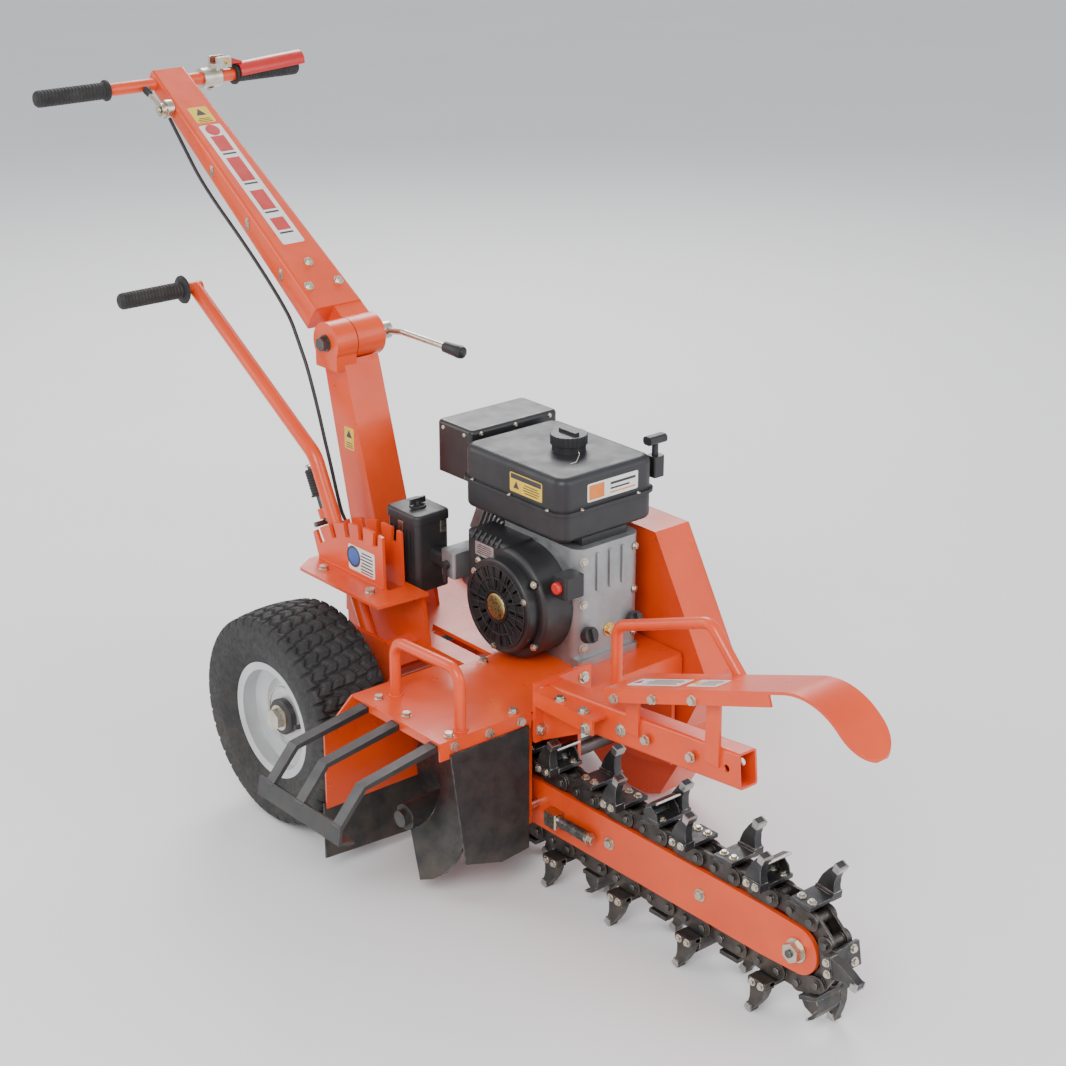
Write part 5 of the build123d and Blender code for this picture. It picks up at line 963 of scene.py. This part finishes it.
def add_scoop(cutters, place):
    """Wide scoop over the middle of the chain, with its lip turned forward."""
    lip = [(-0.017, 0.021), (-0.019, 0.034), (-0.014, 0.048), (-0.002, 0.058), (0.014, 0.063),
           (0.0145, 0.0585), (0.003, 0.0535), (-0.006, 0.046), (-0.0105, 0.034), (-0.008, 0.021)]
    edge = [(0.0145, 0.0638), (0.0165, 0.0612), (0.0145, 0.0578), (0.011, 0.0575), (0.011, 0.0622)]
    cheek = [(-0.017, 0.021), (-0.0175, 0.040), (-0.001, 0.050), (0.012, 0.038), (0.016, 0.021)]
    cutters.prism(place, lip, -0.026, 0.026)
    cutters.prism(place, edge, -0.0265, 0.0265, 1)
    for z in (-0.0265, 0.0235):
        cutters.prism(moved(place, z=z), cheek, 0, 0.003)


def add_cutters():
    """Saddle on every outer link; fins alternate sides and every third link also has a scoop."""
    cutters = Piece("cutter_teeth", "chassis", CUTTER, CARBIDE, ZINC)
    for index in OUTER_LINKS:
        place = link_place(index)
        side = -1 if index % 4 == 1 else 1
        cutters.prism(place, block(0.0205, 0.0191, 0.0268), -0.0268, 0.0268)
        cutters.prism(place, block(0.019, 0.0195, 0.0265), min(0, side * FIN_Z), max(0, side * FIN_Z))
        add_fin(cutters, place, side)
        if index % 3 == 0:
            add_scoop(cutters, place)
        top = moved(place, 0, 0.0268) @ Matrix.Rotation(-math.pi / 2, 4, "X")
        for x in (-0.011, 0.011):
            cutters.bolt(moved(top, x, side * 0.012), 0.0095, 2)
    made = cutters.done(bevel=0.0006)
    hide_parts("chain_cutters")


def add_pin_rivets():
    """Riveted ends of the chain's pins."""
    pins = Piece("chain_pin_rivets", "chassis", DARK)
    rivet = [(-0.001, 0.0002), (-0.001, 0.0066), (0.0008, 0.0064), (0.0018, 0.004), (0.0012, 0.0002)]
    for index in OUTER_LINKS:
        place = link_place(index)
        for x in (-0.0207, 0.0207):
            for side in (-1, 1):
                face = moved(place, x, 0, side * 0.0265)
                if side < 0:
                    face = face @ FLIP
                pins.lathe(face, rivet, 18)
    pins.done()


add_cutters()
add_pin_rivets()


# ------------ boom and front end
BOOM_FACE = NOSE.y - 27
SCREW_Y, SCREW_Z = BOOM_FACE - 11.05, NOSE.z - 4
THREAD_TURNS, THREAD_PITCH = 26, 2.6


def add_boom_hardware():
    """Thread and head of the chain's tension screw, side bolts and the nose bolt's end."""
    boom = Piece("boom_hardware", "chassis", ZINC, DARK)
    thread = [(0, 0.0085), (0.0008, 0.0101), (0.0014, 0.0101), (0.0022, 0.0085)]
    for turn in range(THREAD_TURNS):
        x = DRIVE_X + 186 + turn * THREAD_PITCH
        boom.lathe(facing(at(x, SCREW_Y, SCREW_Z), (1, 0, 0)), thread, 28, 1)
    boom.bolt(facing(at(DRIVE_X + 262, SCREW_Y, SCREW_Z), (1, 0, 0)), 0.015)
    for x in (300, 520):
        boom.bolt(facing(at(DRIVE_X + x, BOOM_FACE, NOSE.z), (0, -1, 0)), 0.014)
    boom.lathe(facing(at(NOSE.x, BOOM_FACE - 17.5, NOSE.z), (0, -1, 0)),
               [(0, 0.0004), (0, 0.0068), (0.0035, 0.0066), (0.0048, 0.005), (0.0048, 0.0004)], 24, 1)
    boom.done()


def add_front_hardware():
    """Bolts of the front tube's side, angle and front plate."""
    front = Piece("front_frame_hardware", "chassis", ZINC)
    for x, z in ((640, 366), (690, 372)):
        front.bolt(on_right("front_frame", x, z), 0.014)
    for x in (560, 620):
        front.bolt(seat("front_frame", (x, -112, 600), (0, 0, -1)), 0.013)
    for y in (-104, -8):
        for z in (376, 306):
            front.bolt(on_front("front_frame", y, z), 0.014)
    front.done()


add_boom_hardware()
add_front_hardware()


# ------------ engine
RECOIL = middle("recoil_cover")
SPOKES, COVER_BOLTS = 24, 3
TANK_SEAM = 642


def add_engine_fasteners():
    """Bolts, ribs and the drain plug of the crankcase's front, and its foot bolts."""
    engine = Piece("engine_fasteners", "chassis", ZINC, CAST, BRASS)
    for y in (68, 189):
        for z in (378, 462, 545):
            engine.bolt(on_front("crankcase", y, z), 0.0105)
    for y in (98, 128, 158):
        engine.prism(on_front("crankcase", y, 520), box_outline(0.006, 0.075, 0.0028), 0, 0.004, 1, 0.0012)
    engine.bolt(on_front("crankcase", 128, 400), 0.017, 2)
    for x, y in ((200, 60), (410, 60), (200, 186), (410, 186)):
        engine.bolt(seat("crankcase", (x, y, 369), (0, 0, -1)), 0.013)
    engine.done(bevel=0.0004)


def add_recoil_detail():
    """Badge, rings, spokes and bolts of the recoil starter's cover."""
    place = facing(at(RECOIL.x, corners("recoil_cover")[0].y, RECOIL.z), (0, -1, 0))
    starter = Piece("recoil_detail", "chassis", BLACK, BRASS, ZINC)
    starter.lathe(place, [(0, 0.0002), (0, 0.026), (0.003, 0.0245), (0.0042, 0.02), (0.0034, 0.0002)], 56, 1)
    starter.lathe(place, [(0, 0.0265), (0.0036, 0.0272), (0.0036, 0.0305), (0, 0.0312)], 56)
    for radius in (0.0532, 0.0765):
        starter.lathe(place, [(0, radius - 0.0016), (0.0022, radius - 0.001), (0.0022, radius + 0.001),
                              (0, radius + 0.0016)], 72)
    for spoke in range(SPOKES):
        turned = place @ Matrix.Rotation(2 * math.pi * (spoke + 0.5) / SPOKES, 4, "Z")
        starter.prism(turned, box_outline(0.044, 0.0022, u=0.0535), 0, 0.002)
    for bolt in range(COVER_BOLTS):
        turned = place @ Matrix.Rotation(2 * math.pi * bolt / COVER_BOLTS + 0.4, 4, "Z")
        starter.bolt(moved(turned, 0.0805), 0.008, 2)
    starter.done(bevel=0.0003)


def add_fan_housing_detail():
    """Bolts on bosses round the fan housing, and a row of short ribs."""
    housing = Piece("fan_housing_detail", "chassis", PLASTIC, ZINC)
    for angle in (38, 142, 218, 322):
        x = RECOIL.x + 97 * math.cos(math.radians(angle))
        z = RECOIL.z + 97 * math.sin(math.radians(angle))
        place = on_right("fan_housing", x, z)
        housing.lathe(place, [(0, 0.003), (0, 0.0085), (0.004, 0.0078), (0.004, 0.003)], 28)
        housing.bolt(moved(place, z=0.004), 0.0085, 1)
    for rib in range(6):
        place = on_right("fan_housing", 205 + rib * 14, 556)
        housing.prism(place, box_outline(0.0045, 0.02, 0.002), 0, 0.0022)
    housing.done(bevel=0.0004)


def add_tank_detail():
    """Screws along the fuel tank's seam, and the wire that holds its cap."""
    tank = Piece("tank_detail", "chassis", PLASTIC, ZINC)
    low, high = corners("fuel_tank")
    for x in (low.x + 40, (low.x + high.x) / 2, high.x - 40):
        for y in (low.y + 2.2, high.y - 2.2):
            tank.screw(facing(at(x, y, TANK_SEAM), (0, 0, 1)), 0.0042, 1)
    for y in (low.y + 50, high.y - 50):
        tank.screw(facing(at(high.x - 2.2, y, TANK_SEAM), (0, 0, 1)), 0.0042, 1)
    cap = middle("fuel_cap")
    route = ((34, -8, 712), (44, -16, 716), (58, -26, 714), (66, -40, 706), (62, -52, 703))
    tank.sweep([at(cap.x + x, cap.y + y, z) for x, y, z in route], 0.0009, 8, 1)
    tank.done()


def add_filter_detail():
    """Wing nut, ribs and clips of the air filter."""
    filters = Piece("air_filter_detail", "chassis", PLASTIC, ZINC)
    low, high = corners("air_filter_lid")
    lid = facing(at((low.x + high.x) / 2, (low.y + high.y) / 2, high.z), (0, 0, 1), (1, 0, 0))
    filters.lathe(lid, [(0, 0.0002), (0, 0.016), (0.003, 0.0155), (0.0045, 0.007), (0.012, 0.006),
                        (0.012, 0.0002)], 40)
    filters.prism(moved(lid, z=0.006), box_outline(0.036, 0.006, 0.0029), 0, 0.011)
    for rib in range(7):
        place = on_right("air_filter_box", 34 + rib * 11, 505)
        filters.prism(place, box_outline(0.004, 0.074, 0.0019), 0, 0.0022)
    for place in (on_right("air_filter_box", 66, 548), on_front("air_filter_box", -10, 545)):
        filters.prism(place, box_outline(0.014, 0.026, 0.002), 0, 0.003, 1)
    filters.done(bevel=0.0004)


def add_guard_screws():
    """Screws of the silencer's guard."""
    screws = Piece("silencer_guard_screws", "chassis", ZINC)
    for y in (78, 160, 244):
        screws.screw(on_front("muffler_guard", y, 704), 0.0045)
    for x in (34, 96):
        screws.screw(on_right("muffler_guard", x, 700), 0.0045)
    screws.done()


add_engine_fasteners()
add_recoil_detail()
add_fan_housing_detail()
add_tank_detail()
add_filter_detail()
add_guard_screws()


# ------------ belt cover
def add_belt_cover_detail():
    """Bolts round the belt cover, and its pressed louvres."""
    cover = Piece("belt_cover_detail", "chassis", ZINC, ORANGE)
    for x, z in ((262, 430), (276, 536), (400, 536), (520, 316), (486, 210), (300, 40), (424, 44)):
        cover.bolt(on_left("belt_cover", x, z), 0.012)
    for row in range(5):
        louvre = on_left("belt_cover", 350, 230 + row * 24)
        cover.prism(louvre, box_outline(0.11, 0.012, 0.0055), 0, 0.003, 1, 0.003)
    cover.done(bevel=0.0006)


add_belt_cover_detail()


# ------------ floor and light
FLOOR_HALF = 40.0
AIM = Vector((0, 0, 0.5))
LAMPS = (("key", (2.6, -3.4, 3.6), 190, 2.4, (1, 0.98, 0.95)),
         ("fill", (4.2, 1.8, 2.4), 95, 3.0, (0.95, 0.97, 1)),
         ("rim", (-3.2, 2.6, 3.4), 150, 2.2, (1, 1, 1)),
         ("back", (-3.0, -2.8, 2.2), 60, 2.6, (1, 1, 1)))


def add_floor():
    """Plain pale floor."""
    data = bpy.data.meshes.new("floor")
    square = [(x * FLOOR_HALF, y * FLOOR_HALF, 0) for x, y in ((-1, -1), (1, -1), (1, 1), (-1, 1))]
    data.from_pydata(square, [], [(0, 1, 2, 3)])
    floor = shown("floor", data)
    shade = Shade("floor_pale")
    tone = shade.mix(shade.span(shade.noise(1.5, 2.0), 0.3, 0.7), (0.86, 0.86, 0.86), (0.88, 0.88, 0.88))
    shade.link(tone, shade.shader.inputs["Base Color"])
    shade.shader.inputs["Roughness"].default_value = 0.75
    data.materials.append(shade.material)


def add_light():
    """Soft key light, fill, rim and back lights, and a pale sky."""
    for name, place, power, width, tint in LAMPS:
        light = bpy.data.lights.new(name, "AREA")
        light.energy, light.size, light.color = power, width, tint
        lamp = shown(name, light)
        lamp.location = place
        lamp.rotation_euler = (AIM - Vector(place)).to_track_quat("-Z", "Y").to_euler()
    world = bpy.data.worlds.new("world")
    world.use_nodes = True
    background = world.node_tree.nodes["Background"]
    background.inputs["Color"].default_value = (0.93, 0.95, 1.0, 1)
    background.inputs["Strength"].default_value = 0.8
    bpy.context.scene.world = world


add_floor()
add_light()
